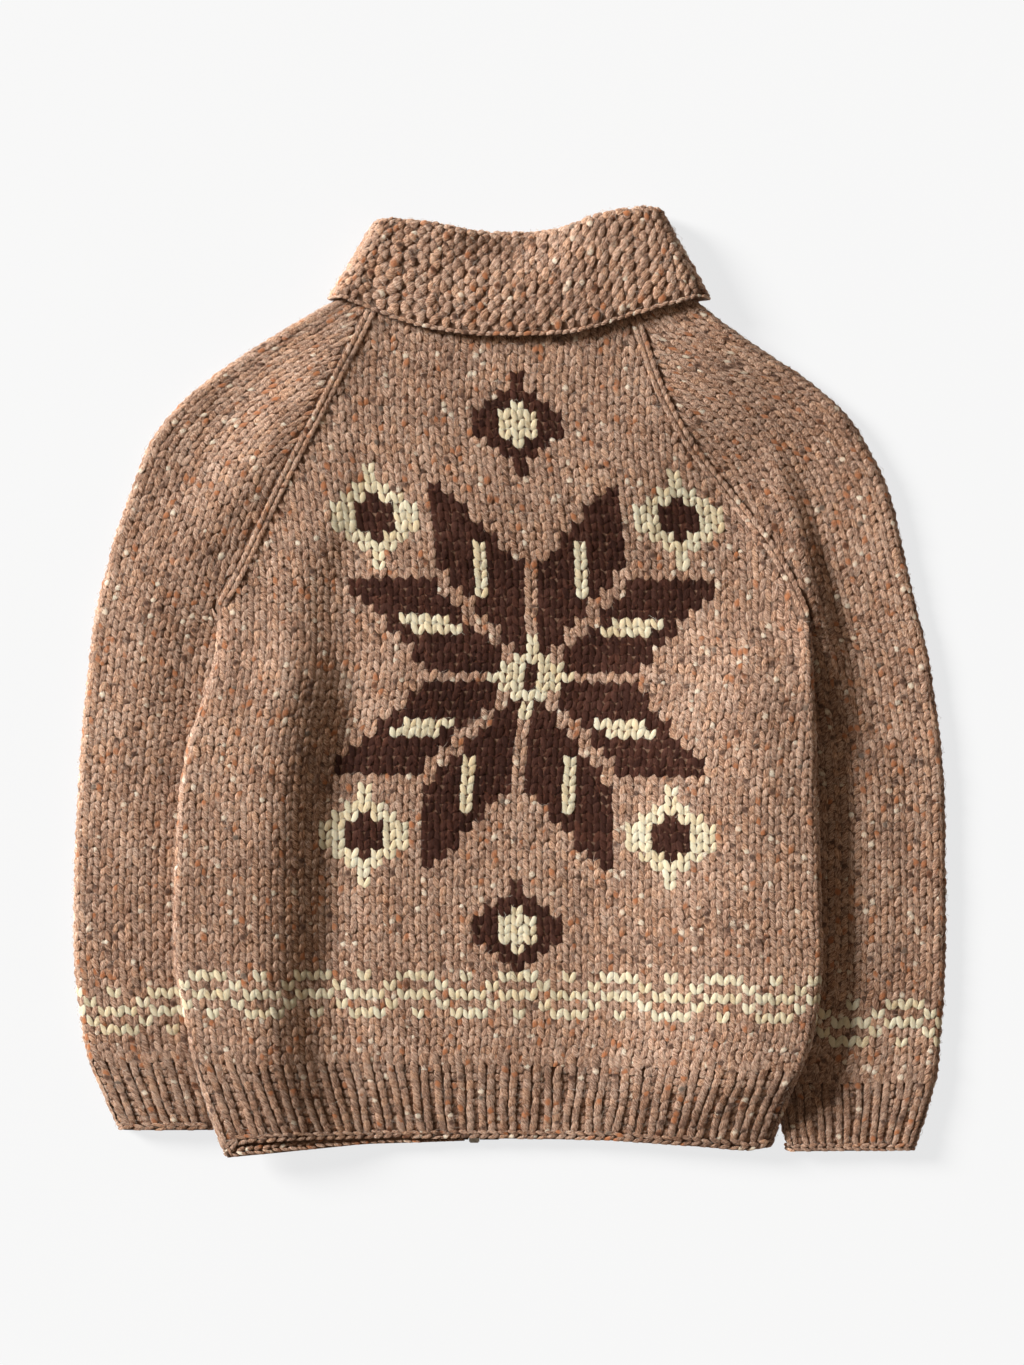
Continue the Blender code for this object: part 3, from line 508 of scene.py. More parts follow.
def raglan_at(side):
    """The place function of the back's raglan edge: mm inward from it, courses up it."""
    rows = np.linspace(UNDERARM, NECK, 200)
    edge = read_point(BODY, side, rows)
    far = np.concatenate([[0.0], np.cumsum(length(np.diff(edge, axis=0)))])

    def on_edge(distance):
        return np.stack([np.interp(distance, far, edge[:, k]) for k in (0, 1)], axis=1)

    def at(u, v, lift):
        distance = np.clip(v * COURSE, 0.0, far[-1])
        step = on_edge(distance + EDGE_STEP) - on_edge(distance - EDGE_STEP)
        along = step / length(step)[:, None]
        across = np.stack([along[:, 1], -along[:, 0]], axis=1)
        point = on_edge(distance) + across * (u * INWARD[side])[:, None]
        return lay(point, OUTER_TURN + lift, back_rise(*point.T))

    return at, far[-1] / COURSE


def neck_corner(side):
    """Table row where the front's raglan edge meets the front neckline."""
    top, below = (read_point(BODY, side, np.array([float(r)]))[0] for r in (NECK, NECK - 1))
    seam = COLLAR_FRONT[side]
    start = np.array((seam["seam_x"][0], seam["seam_y"][0]))
    line = np.array((seam["seam_x"][-1], seam["seam_y"][-1])) - start
    edge, offset = top - below, start - below
    crossing = edge[0] * line[1] - edge[1] * line[0]
    return NECK - 1 + (offset[0] * line[1] - offset[1] * line[0]) / crossing


FRONT_TOP = {side: neck_corner(side) for side in SLEEVES}


def zip_x(y):
    return np.interp(y, (ZIP_FOOT[1], ZIP_TOP[1]), (ZIP_FOOT[0], ZIP_TOP[0]))


def opening_point(side, row):
    """The front's edge beside the zip."""
    level = np.minimum(row, UNDERARM)
    y = (read(BODY, "left_y", level) + read(BODY, "right_y", level)) / 2
    y = y + (ZIP_TOP[1] - y) * np.maximum(row - UNDERARM, 0.0) / (FRONT_TOP[side] - UNDERARM)
    return np.stack([zip_x(y) - INWARD[side] * OPENING_HALF, y], axis=1)


def front_pitch(side, row):
    level = np.minimum(row, UNDERARM)
    width = length(read_point(BODY, side, level) - opening_point(side, level))
    return (width - OUTER_TURN) / FRONT_WALES


def front_at(side):
    """The place function of a front, whose wales count from the zip outward."""
    def at(u, v, lift):
        row = np.minimum(BODY_COURSES.row(v), FRONT_TOP[side])
        outer, inner = read_point(BODY, side, row), opening_point(side, row)
        width = length(outer - inner)
        along = (outer - inner) / width[:, None]
        curl = curl_at(row)
        flat_end = width - OUTER_TURN * np.sin(curl)
        reach, height = over_edge(u * front_pitch(side, row), flat_end, lift, curl)
        point = inner + along * reach[:, None]
        left, right = read_point(BODY, "left", row), read_point(BODY, "right", row)
        point[:, 1] += drop_hem(point[:, 0], left, right, HEM_FRONT)
        return lay(point, -height, front_rise(*point.T))
    return at


def front_span(side):
    def span(v):
        row = np.minimum(BODY_COURSES.row(v), FRONT_TOP[side])
        width = length(read_point(BODY, side, row) - opening_point(side, row))
        return 0.0 * width, (width + turned(curl_at(row))) / front_pitch(side, row)
    return span


def sleeve_frame(side, row):
    """A sleeve's inner edge, its outer fold's axis, the way out and the flat width."""
    outer, inner = (read_point(SLEEVES[side], name, row) for name in ("outer", "inner"))
    along = (outer - inner) / length(outer - inner)[:, None]
    axis = outer - along * OUTER_TURN
    return inner, axis, along, length(axis - inner)


def sleeve_place(side, around, row, lift):
    """A sleeve's outer face, around mm from the middle of its outer fold.

    around is above 0 over the top, and below 0 under the sleeve.
    """
    _, axis, along, width = sleeve_frame(side, row)
    radius = OUTER_TURN + lift
    angle = np.clip(QUARTER - around / OUTER_TURN, 0.0, math.pi)
    beyond = np.maximum(np.abs(around) - TURN_LENGTH, 0.0)
    curl = curl_at(row)
    flat_end = width - OUTER_TURN * np.sin(curl)
    reach, edge_height = over_edge(beyond, flat_end, lift, curl)
    point = axis + along * (radius * np.sin(angle) - reach)[:, None]
    height = np.where(beyond > 0.0, np.sign(around) * edge_height, radius * np.cos(angle))
    value = np.clip(1.0 - beyond / flat_end, 0.0, 1.0)
    x, y = point.T
    bulge = np.sin(math.pi * value) if side == "left" else smooth(value, 0.0, CROWN_FULL)
    crown = read(SLEEVES[side], "crown", row) * bulge + folds(x, y)
    level, room = SOFT_FLOOR
    crown = np.where(crown < level, level + room * np.tanh((crown - level) / room), crown)
    over = np.clip(height / radius, 0.0, 1.0)
    return lay(point, height, crown * over + collar_rise(x, y))


def sleeve_reach(side, row):
    """Length round a sleeve from the middle of its outer fold to its seam."""
    return sleeve_frame(side, row)[3] + TURN_LENGTH + turned(curl_at(row))


def sleeve_at(side):
    """The place function of a sleeve: wales from the outer fold, courses over the cuff."""
    def at(u, v, lift):
        return sleeve_place(side, u * SLEEVE_PITCH, SLEEVE_COURSES[side].row(v), lift)
    return at


def sleeve_span(side):
    """The whole way round a sleeve, from its under seam to its upper one."""
    def span(v):
        reach = sleeve_reach(side, SLEEVE_COURSES[side].row(v)) / SLEEVE_PITCH
        return -reach, reach
    return span


def cuff_at(side):
    """The place function of a cuff: ribs from the outer fold, courses below 0."""
    def at(u, v, lift):
        row = SLEEVE_COURSES[side].row(v)
        return sleeve_place(side, u * between(CUFF_RIB[side], row), row, lift)
    return at


def cuff_span(side):
    def span(v):
        row = SLEEVE_COURSES[side].row(v)
        reach = sleeve_reach(side, row) / between(CUFF_RIB[side], row)
        return -reach, reach
    return span


COLLAR_TURNED = (COLLAR_MID + FOLD_RADIUS) * math.pi
FOLD_LENGTH = math.pi * FOLD_RADIUS


def collar_half(level):
    """Half the collar's width behind the neck, from its fold (0) to its edge (1)."""
    return 0.5 * between(COLLAR_WIDTH, level)


def collar_at(u, v, lift):
    """The collar's outer face at ridge u from its middle, v mm below its fold.

    v under 0 goes over the fold, and then down the stand inside the neck to the seam. Past its
    sides the collar turns under, to its front halves.
    """
    level = np.clip(v / COLLAR_FALL, 0.0, COLLAR_PAST)
    half = collar_half(level)
    away = np.where(u < 0.0, -1.0, 1.0)
    across = np.abs(u) * between(COLLAR_RIDGE, level)
    angle = np.clip((across - half) / COLLAR_TURNED, 0.0, 1.0) * math.pi
    last = len(COLLAR_BACK["seam_x"]) - 1
    row = (0.5 + 0.5 * away * np.clip(across / half, 0.0, 1.0)) * last
    names = ("seam", "fold", "edge")
    lines = [read_point(COLLAR_BACK, name, row) for name in names]
    under = np.maximum(across - half - COLLAR_TURNED, 0.0)
    share = np.clip(under / between(COLLAR_FRONT_REACH, level), 0.0, 1.0) * 2.0
    for side, front in COLLAR_FRONT.items():
        here = ((under > 0.0) & (away == -INWARD[side]))[:, None]
        lines = [np.where(here, read_point(front, name, share), line) for name, line in zip(names, lines)]
    seam, fold, edge = lines
    outward = (fold - edge) / length(fold - edge)[:, None]
    turn = FOLD_RADIUS + lift
    step = np.clip(1.0 + v / FOLD_LENGTH, 0.0, 1.0)
    stand = np.clip((-v - FOLD_LENGTH) / COLLAR_STAND, 0.0, 1.0)[:, None]
    over_fold = fold + (seam - fold) * stand + outward * (turn * np.sin(step * math.pi))[:, None]
    point = np.where((v >= 0.0)[:, None], fold + (edge - fold) * level[:, None], over_fold)
    radius = COLLAR_MID + np.where(v >= 0.0, turn, -turn * np.cos(step * math.pi))
    point[:, 0] += away * radius * np.sin(angle)
    near = np.clip(np.abs(point[:, 0] - COLLAR_SAG.centre) / COLLAR_SAG.half, 0.0, 1.0)
    sag = COLLAR_SAG.depth * np.cos(near * QUARTER) ** 2 * smooth(point[:, 1], *COLLAR_SAG.rows)
    height = COLLAR_AXIS + radius * np.cos(angle) - np.where(angle < LEVEL_ANGLE, sag, 0.0)
    return np.column_stack([point, height]) * MM


def collar_span(v):
    level = np.clip(v / COLLAR_FALL, 0.0, 1.0)
    whole = collar_half(level) + COLLAR_TURNED + between(COLLAR_FRONT_REACH, level)
    last = whole / between(COLLAR_RIDGE, level)
    return -last, last


def zip_at(u, v, lift):
    """The zip's front face, u mm from its middle line at the height v."""
    point = np.stack([zip_x(v) + u, v], axis=1)
    return np.column_stack([point, CHAIN_FACE - lift + collar_rise(point[:, 0], v)]) * MM


# ---------------------------------------------------------------- meshes

def add_piece(name, mesh):
    piece = bpy.data.objects.new(name, mesh)
    bpy.context.scene.collection.objects.link(piece)
    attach(piece, GARMENT)
    return piece


def store(mesh, name, values):
    attribute = mesh.attributes.new(name, "FLOAT_VECTOR", "POINT")
    attribute.data.foreach_set("vector", np.ascontiguousarray(values, np.float32).ravel())


def mesh_of(name, points, corners, sizes):
    """A mesh from its points, its faces' corners in one row, and how many each face has."""
    mesh = bpy.data.meshes.new(name)
    mesh.vertices.add(len(points))
    mesh.vertices.foreach_set("co", np.ascontiguousarray(points, np.float32).ravel())
    mesh.loops.add(len(corners))
    mesh.loops.foreach_set("vertex_index", np.ascontiguousarray(corners, np.int32))
    mesh.polygons.add(len(sizes))
    starts = np.concatenate([[0], np.cumsum(sizes)[:-1]])
    mesh.polygons.foreach_set("loop_start", starts.astype(np.int32))
    mesh.update(calc_edges=True)
    mesh.shade_smooth()
    return mesh


def shares(steps, *bends):
    """Even steps from 0 to 1, and three steps over each narrow bend at (start, end)."""
    points = set(np.linspace(0.0, 1.0, steps + 1))
    for start, end in bends:
        points |= set(np.linspace(start, end, 4))
    return np.array(sorted(points))


class Panel:
    """A knitted panel: its place function, its sides at a course, its pitches and its slot."""

    def __init__(self, at, span, pitch, slot, course=COURSE):
        self.at, self.span, self.slot = at, span, slot
        self.unit = np.array((pitch, course))

    def covers(self, u, v, margin=0.0):
        """Which places lie on the panel, a margin of wales inside its sides."""
        low, high = self.span(v)
        return (u > low + margin) & (u < high - margin)

    def stitches(self, courses):
        """Every whole stitch on the panel: wales and courses, as two arrays."""
        rows = np.arange(courses)
        low, high = self.span(rows + 0.5)
        wales, rows = np.meshgrid(np.arange(math.floor(low.min()), math.ceil(high.max())), rows)
        wales, rows = wales.ravel(), rows.ravel()
        low, high = self.span(rows + 0.5)
        keep = (wales + 1.0 > low) & (wales < high)
        return wales[keep], rows[keep]

    def ground(self, name, levels, across, lifts):
        """The cloth under the stitches: a closed thin shell on the panel's surface."""
        rows, columns = len(levels), len(across)
        low, high = self.span(levels)
        v = np.repeat(levels, columns)
        u = (low[:, None] + (high - low)[:, None] * across).ravel()
        sheet = bmesh.new()
        layers = []
        for lift in lifts:
            layers.append([sheet.verts.new(point) for point in self.at(u, v, np.full_like(u, lift))])
        for r in range(rows - 1):
            for c in range(columns - 1):
                corner = r * columns + c
                around = (corner, corner + 1, corner + columns + 1, corner + columns)
                sheet.faces.new([layers[0][k] for k in around])
                sheet.faces.new([layers[1][k] for k in reversed(around)])
        border = list(range(columns))
        border += [r * columns + columns - 1 for r in range(1, rows)]
        border += [(rows - 1) * columns + c for c in range(columns - 2, -1, -1)]
        border += [r * columns for r in range(rows - 2, 0, -1)]
        for here, after in zip(border, border[1:] + border[:1]):
            sheet.faces.new((layers[0][after], layers[0][here], layers[1][here], layers[1][after]))
        if sheet.calc_volume(signed=True) < 0.0:
            bmesh.ops.reverse_faces(sheet, faces=sheet.faces)
        mesh = bpy.data.meshes.new(name)
        sheet.to_mesh(mesh)
        sheet.free()
        mesh.shade_smooth()
        mesh.materials.append(ground_wool())
        return add_piece(name, mesh)


def grain(sides, rings, blunt=0.85):
    """A unit grain along Y: its points, its faces' corners and their sizes."""
    seed = bmesh.new()
    turn = Matrix.Rotation(QUARTER, 4, "X")
    bmesh.ops.create_uvsphere(seed, u_segments=sides, v_segments=rings, radius=1.0, matrix=turn)
    points = np.array([corner.co for corner in seed.verts])
    points[:, 1] = np.sign(points[:, 1]) * np.abs(points[:, 1]) ** blunt
    corners = np.array([corner.index for face in seed.faces for corner in face.verts])
    sizes = np.array([len(face.verts) for face in seed.faces])
    seed.free()
    return points, corners, sizes


LEG, COARSE_LEG, HAIR, TOOTH = grain(6, 4), grain(5, 3), grain(3, 2), grain(4, 4, 0.6)


def rest(points):
    """Flatten what would pass through the floor."""
    z = points[:, 2] / SETTLE
    points[:, 2] = np.where(z < 1.0, np.exp(np.minimum(z, 1.0) - 1.0), z) * SETTLE
    return points


class Strands:
    """Lengths of yarn on one panel, each from one (u, v, lift) to another."""

    def __init__(self, panel):
        self.panel = panel
        self.at, self.unit = panel.at, panel.unit
        self.rows = []

    def add(self, start, end, wide, thick, arch=0.0, bow=0.0, yarn=0):
        """Add many strands. wide, thick, arch and bow are in mm; yarn is a material index."""
        columns = (*start, *end, wide, thick, arch, bow, yarn)
        self.rows.append(np.column_stack(np.broadcast_arrays(*np.atleast_1d(*columns))).astype(float))

    def build(self, name, shape, random, materials, nap=NAP):
        """Lay a grain along every strand, as one piece."""
        columns = (column[:, None] for column in np.concatenate(self.rows).T)
        u1, v1, l1, u2, v2, l2, wide, thick, arch, bow, yarn = columns
        points, corners, sizes = shape
        across, step, up = (points[:, k][None, :] for k in range(3))
        a = (step + 1.0) / 2.0
        along = np.concatenate([u2 - u1, v2 - v1], axis=1) * self.unit
        span = length(along)[:, None]
        side = np.stack([along[:, 1], -along[:, 0]], axis=1) / span / self.unit
        shift = across * wide + bow * 4.0 * a * (1.0 - a)
        u = u1 + (u2 - u1) * a + shift * side[:, :1]
        v = v1 + (v2 - v1) * a + shift * side[:, 1:]
        lift = l1 + (l2 - l1) * a + arch * 4.0 * a * (1.0 - a) + up * thick
        count, per_strand = len(yarn), len(points)
        place = rest(self.at(u.ravel(), v.ravel(), lift.ravel()))
        loops = (corners[None, :] + (np.arange(count) * per_strand)[:, None]).ravel()
        mesh = mesh_of(name, place, loops, np.tile(sizes, count))
        seeds = random.random((count, 1)) * 100.0 + 0.0 * a
        fibre = np.stack([a * span, across * wide + TWIST * a * span, seeds], axis=2)
        store(mesh, "fibre", fibre.reshape(-1, 3))
        marks = (random.random((count, 3)) < np.array(FLECK)) * (yarn == TWEED)
        store(mesh, "fleck", np.repeat(marks, per_strand, axis=0))
        for material in materials:
            mesh.materials.append(material)
        index = np.repeat(yarn[:, 0].astype(np.int32), len(sizes))
        mesh.polygons.foreach_set("material_index", index)
        outward, mirrored = self.outward(((u1 + u2) / 2)[:, 0], ((v1 + v2) / 2)[:, 0])
        if mirrored:
            mesh.flip_normals()
        own = np.empty(len(place) * 3, np.float32)
        mesh.vertex_normals.foreach_get("vector", own)
        eased = own.reshape(-1, 3) * (1.0 - nap) + np.repeat(outward, per_strand, axis=0) * nap
        mesh.normals_split_custom_set_from_vertices(eased / np.linalg.norm(eased, axis=1)[:, None])
        return add_piece(name, mesh)

    def outward(self, u, v):
        """The panel's outward directions, and whether u and v are left-handed on it."""
        zero = np.zeros_like(u)
        du, dv = 0.5 / self.unit
        middle, lifted = self.at(u, v, zero), self.at(u, v, zero + 0.5)
        across = self.at(u + du, v, zero) - self.at(u - du, v, zero)
        up = self.at(u, v + dv, zero) - self.at(u, v - dv, zero)
        normal = np.cross(across, up)
        facing = (normal * (lifted - middle)).sum(axis=1, keepdims=True)
        size = np.maximum(np.linalg.norm(normal, axis=1, keepdims=True), 1e-12)
        return normal / size * np.sign(facing), facing.sum() < 0.0


# ---------------------------------------------------------------- materials

# Spun wool: scales of its fibres and patches, how much each changes the shade, and its neps' shape
WOOL = Sizes(streaks=(0.5, 2.4, 1.0), fine=(0.5, 4.5, 1.0), patches=28.0, tone_share=0.26,
             patch_share=0.45, fine_share=0.6, nep_narrow=0.45, nep_reach=8.0, nep_ragged=2.2,
             nep_edge=2.0, nep_cover=0.85)
TINTS = ((0.25, (1.0, 0.92, 0.82)), (0.5, (1.0, 1.0, 1.0)), (0.75, (0.93, 0.97, 1.0)))
NEPS = (            # flecks of other wool: colour, reach along the yarn in mm
    ((0.40, 0.15, 0.06), 2.9),
    ((0.75, 0.67, 0.54), 2.1),
    ((0.055, 0.027, 0.02), 2.2),
)


class Nodes:
    """A material's node tree, filled link by link from an empty one."""

    def __init__(self, name):
        self.material = bpy.data.materials.get(name) or bpy.data.materials.new(name)
        self.material.use_nodes = True
        self.tree = self.material.node_tree
        self.tree.nodes.clear()
        self.shader = self.add("ShaderNodeBsdfPrincipled")
        self.add("ShaderNodeOutputMaterial", {"Surface": self.shader.outputs["BSDF"]})
        self.place = self.add("ShaderNodeTexCoord").outputs["Object"]

    def add(self, kind, inputs=None, **settings):
        node = self.tree.nodes.new(kind)
        for key, value in settings.items():
            setattr(node, key, value)
        for key, value in (inputs or {}).items():
            self.put(node, key, value)
        return node

    def put(self, node, key, value):
        socket = node.inputs[key]
        if isinstance(value, bpy.types.NodeSocket):
            self.tree.links.new(value, socket)
        else:
            socket.default_value = value

    def attribute(self, name):
        return self.add("ShaderNodeAttribute", attribute_name=name).outputs["Vector"]

    def split(self, vector):
        return self.add("ShaderNodeSeparateXYZ", {0: vector}).outputs

    def ramp(self, factor, stops):
        node = self.add("ShaderNodeValToRGB", {"Fac": factor})
        elements = node.color_ramp.elements
        while len(elements) < len(stops):
            elements.new(0.5)
        for element, (place, colour) in zip(elements, stops):
            element.position = place
            element.color = (*colour, 1.0)
        return node.outputs["Color"]

    def mix(self, factor, first, second, blend="MIX"):
        inputs = {0: factor, 6: first, 7: second}
        return self.add("ShaderNodeMix", inputs, data_type="RGBA", blend_type=blend).outputs[2]

    def math(self, operation, first, second=0.5, **settings):
        node = self.add("ShaderNodeMath", {0: first, 1: second}, operation=operation, **settings)
        return node.outputs[0]

    def around(self, value, size):
        """A value from 0 to 1, as one of that size around 0."""
        return self.math("MULTIPLY", self.math("SUBTRACT", value, 0.5), size)

    def noise(self, vector, scale, detail=2.0, roughness=0.5):
        inputs = {"Vector": vector, "Scale": scale, "Detail": detail, "Roughness": roughness}
        return self.add("ShaderNodeTexNoise", inputs).outputs["Fac"]

    def stretched(self, vector, scale):
        node = self.add("ShaderNodeVectorMath", {0: vector, 1: scale}, operation="MULTIPLY")
        return node.outputs[0]

    def bump(self, height, strength, distance):
        inputs = {"Height": height, "Strength": strength, "Distance": distance}
        self.put(self.shader, "Normal", self.add("ShaderNodeBump", inputs).outputs["Normal"])

    def finish(self, values):
        """Set the shader's own sockets by name, and give the material."""
        for key, value in values.items():
            self.put(self.shader, key, value)
        return self.material


def wool(name, dark, mid, light, heather):
    """Spun wool: streaks of fibre along the yarn, neps of other colours, a soft nap."""
    nodes = Nodes(name)
    fibre = nodes.attribute("fibre")
    along, around, seed = nodes.split(fibre)
    beside = nodes.math("SUBTRACT", around, nodes.math("MULTIPLY", along, TWIST))
    beside = nodes.math("MULTIPLY", beside, WOOL.nep_narrow)
    beside = nodes.math("POWER", nodes.math("ABSOLUTE", beside), 2.0)
    chance = nodes.add("ShaderNodeTexWhiteNoise", {"W": seed}, noise_dimensions="1D")
    tone, centre, hue = nodes.split(chance.outputs["Color"])
    streak = nodes.noise(nodes.stretched(fibre, WOOL.streaks), 1.0, 3.0, 0.7)
    patches = nodes.noise(nodes.place, WOOL.patches)
    value = nodes.around(streak, heather)
    value = nodes.math("ADD", value, nodes.around(tone, WOOL.tone_share))
    value = nodes.math("ADD", value, nodes.around(patches, WOOL.patch_share))
    value = nodes.math("ADD", value, 0.5)
    colour = nodes.ramp(value, ((0.15, dark), (0.5, mid), (0.85, light)))
    hue = nodes.math("ADD", nodes.math("MULTIPLY", hue, 0.5), nodes.math("MULTIPLY", streak, 0.5))
    colour = nodes.mix(1.0, colour, nodes.ramp(hue, TINTS), "MULTIPLY")
    centre = nodes.math("MULTIPLY", centre, WOOL.nep_reach)
    far = nodes.math("ABSOLUTE", nodes.math("SUBTRACT", along, centre))
    for flag, (shade, reach) in zip(nodes.split(nodes.attribute("fleck")), NEPS):
        close = nodes.math("SUBTRACT", 1.0, beside)
        close = nodes.math("SUBTRACT", close, nodes.math("DIVIDE", far, reach))
        close = nodes.math("ADD", close, nodes.around(streak, WOOL.nep_ragged))
        close = nodes.math("MULTIPLY", close, WOOL.nep_edge)
        close = nodes.math("MULTIPLY", close, flag, use_clamp=True)
        cover = nodes.math("MULTIPLY", close, WOOL.nep_cover)
        colour = nodes.mix(cover, colour, (*shade, 1.0))
    fine = nodes.noise(nodes.stretched(fibre, WOOL.fine), 1.0)
    relief = nodes.math("ADD", streak, nodes.math("MULTIPLY", fine, WOOL.fine_share))
    nodes.bump(relief, 0.5, 0.0004)
    return nodes.finish({
        "Base Color": colour, "Roughness": 0.92, "Specular IOR Level": 0.12,
        "Subsurface Weight": 0.5, "Subsurface Radius": (1.0, 0.8, 0.65), "Subsurface Scale": 0.0014,
        "Sheen Weight": 0.25, "Sheen Roughness": 0.45, "Sheen Tint": (*light, 1.0),
    })


def ground_wool():
    """The cloth between the strands, its wool painted much darker than the yarn as the shade in the
    knitting's depth.
    """
    nodes = Nodes("ground_wool")
    mottle = nodes.noise(nodes.place, 420.0, 3.0, 0.6)
    nodes.bump(mottle, 0.8, 0.0008)
    # painted shade: dark browns for the depth between the strands
    colour = nodes.ramp(mottle, ((0.3, (0.10, 0.056, 0.036)), (0.7, (0.24, 0.14, 0.09))))
    return nodes.finish({"Base Color": colour, "Roughness": 0.95})


def zip_metal():
    """Worn nickel."""
    nodes = Nodes("zip_nickel")
    wear = nodes.noise(nodes.place, 260.0, 3.0, 0.6)
    colour = nodes.ramp(wear, ((0.35, (0.33, 0.31, 0.28)), (0.65, (0.62, 0.60, 0.56))))
    return nodes.finish({"Base Color": colour, "Metallic": 1.0, "Roughness": 0.32})


def zip_cloth():
    """Woven tape."""
    nodes = Nodes("zip_tape_cloth")
    threads = []
    for axis, scale in (("X", 420.0), ("Y", 300.0)):
        inputs = {"Vector": nodes.place, "Scale": scale, "Distortion": 0.4}
        threads.append(nodes.add("ShaderNodeTexWave", inputs, bands_direction=axis).outputs["Fac"])
    weave = nodes.math("MULTIPLY", *threads)
    nodes.bump(weave, 0.6, 0.0003)
    colour = nodes.ramp(weave, ((0.1, (0.025, 0.014, 0.010)), (0.8, (0.085, 0.05, 0.036))))
    return nodes.finish({"Base Color": colour, "Roughness": 0.85})


def floor_paper():
    """Pale, even studio paper."""
    nodes = Nodes("floor_paper")
    mottle = nodes.noise(nodes.place, 3.0)
    colour = nodes.ramp(mottle, ((0.3, (0.14, 0.14, 0.14)), (0.7, (0.145, 0.145, 0.145))))
    return nodes.finish({
        "Base Color": colour, "Roughness": 0.9,
        "Emission Color": FLOOR.glow_colour, "Emission Strength": FLOOR.glow,
    })


# ---------------------------------------------------------------- knitting

TWEED, CREAM, CHOCOLATE = 0, 1, 2

WAVE = (            # the cream waves, from the lowest course up; a repeat of 8 stitches
    ".#..###.",
    "...#...#",
    "###.###.",
    "...#...#",
    "###..#..",
)
STAR_CENTRE = (25, 41)
STAR_HALF = (15.5, 22.0)
STAR_PETAL = Sizes(reach=0.5, gap=0.05, fold=0.035)      # shares of the star's half
STAR_VEIN = Sizes(middle=0.25, half=0.05, first=0.12, last=0.4)
DIAMOND_LEAN = 1.4
STAR_DIAMONDS = (   # wales and courses from the star's middle, reach, yarn
    (0, 0, 4.3, CREAM), (0, 0, 1.3, CHOCOLATE),
    (12, 17, 5.4, CREAM), (12, 17, 2.5, CHOCOLATE),
    (0, 27, 5.4, CHOCOLATE), (0, 27, 2.5, CREAM),
)

# Strands. Along u they are in wales, ribs or ridges, along v in courses (the collar's in mm), and
# in depth, width, arch and bow in mm. stray is how far each one differs by chance.
STOCKING = Sizes(foot_out=0.04, tip_out=0.43, drop=0.25, foot_deep=1.5, tip_deep=1.7, arch=0.7,
                 bow=0.35, middle_out=0.23, middle_up=0.7, margin=0.12, stray=0.6, size_stray=0.07,
                 out_stray=0.03, deep_stray=0.18, wander=1.6)
RIB_LEG = Sizes(out=0.2, foot_in=0.075, tip_out=0.06, drop=0.45, long=1.75, foot_deep=1.9,
                tip_deep=1.7, wide=0.2, thick=1.4, arch=0.8, bow=0.3, u_stray=0.012, v_stray=0.08,
                size_stray=0.07, deep_stray=0.2, wander=0.05, wave=(0.3, 0.9), phase=(0.0, 6.0))
PURL = Sizes(up=0.2, half=0.16, rise=0.2, deep=2.0, sink=0.9, sink_from=(0, 3), sink_over=3.0,
             wide=2.9, thick=1.3, arch=0.5, u_stray=0.02)
CHAIN = Sizes(pitch=6.2, long=1.25, up=0.5, foot_out=0.4, tip_out=0.02, deep=1.1, foot_deep=0.4,
              wide=1.7, thick=1.5, arch=0.6, bow=-0.3, v_stray=0.07, deep_stray=0.2, end=0.3)
CORD = Sizes(foot_out=0.75, tip_out=2.0, drop=0.5, rise=1.05, deep=1.5, tip_deep=0.1, wide=1.75,
             thick=1.6, arch=1.1, bow=0.3, v_stray=0.05, deep_stray=0.12)
BUMP = Sizes(pitch=7.4, long=7.9, out=0.25, lean=0.14, deep=2.2, wide=2.55, thick=1.4, arch=0.9,
             bow=0.6, u_stray=0.04, v_stray=0.45, size_stray=0.09, deep_stray=0.3, lean_stray=0.07,
             side_margin=0.3, edge_margin=2.5, nap=0.55)
COLLAR_EDGE = Sizes(pitch=0.62, long=0.85, up=0.9, foot_down=0.5, tip_up=0.6, deep=2.2, thick=1.4,
                    arch=0.5, bow=0.4, v_stray=0.15, deep_stray=0.2, end=0.4)
LOOSE = Sizes(thick=0.11, reach=(1.2, 4.5), depth=(-1.3, -0.3), arch=(0.4, 1.9), bow=(-1.2, 1.2),
              rib_low=-8.7, nap=0.9)
TEETH = Sizes(pitch=2.6, first=-260.0, last=158.0, inner=0.5, outer=2.8, lift=0.1, wide=0.62,
              thick=0.9, seed=3)
WANDER_WAVES = (9.0, 17.0, 31.0)
INNER_NAP = -0.6                        # turns the shading of the chain on a hem's inner face


def wave_yarn(yarn, wale, course, first_course, shift):
    """Put the cream waves over a panel's yarns."""
    chart = np.array([[mark == "#" for mark in line] for line in WAVE])
    row = course - first_course
    inside = (row >= 0) & (row < len(WAVE))
    wave = inside & chart[np.clip(row, 0, len(WAVE) - 1), (wale + shift) % len(WAVE[0])]
    return np.where(wave, CREAM, yarn)


def star_yarn(wale, course):
    """An eight-pointed star of the old sort, with small diamonds round it."""
    across, up = np.abs(wale - STAR_CENTRE[0]), np.abs(course - STAR_CENTRE[1])
    x, y = across / STAR_HALF[0], up / STAR_HALF[1]
    far, near = np.maximum(x, y), np.minimum(x, y)
    slant = far - near
    petal = (near < STAR_PETAL.reach) & (slant < STAR_PETAL.reach)
    petal &= (slant > STAR_PETAL.gap) & (near > STAR_PETAL.fold)
    yarn = np.where(petal, CHOCOLATE, TWEED)
    vein = petal & (np.abs(near - STAR_VEIN.middle) < STAR_VEIN.half)
    vein &= (slant > STAR_VEIN.first) & (slant < STAR_VEIN.last)
    yarn = np.where(vein, CREAM, yarn)
    for centre_x, centre_y, size, colour in STAR_DIAMONDS:
        away = DIAMOND_LEAN * np.abs(across - centre_x) + np.abs(up - centre_y)
        yarn = np.where(away < size, colour, yarn)
    return yarn


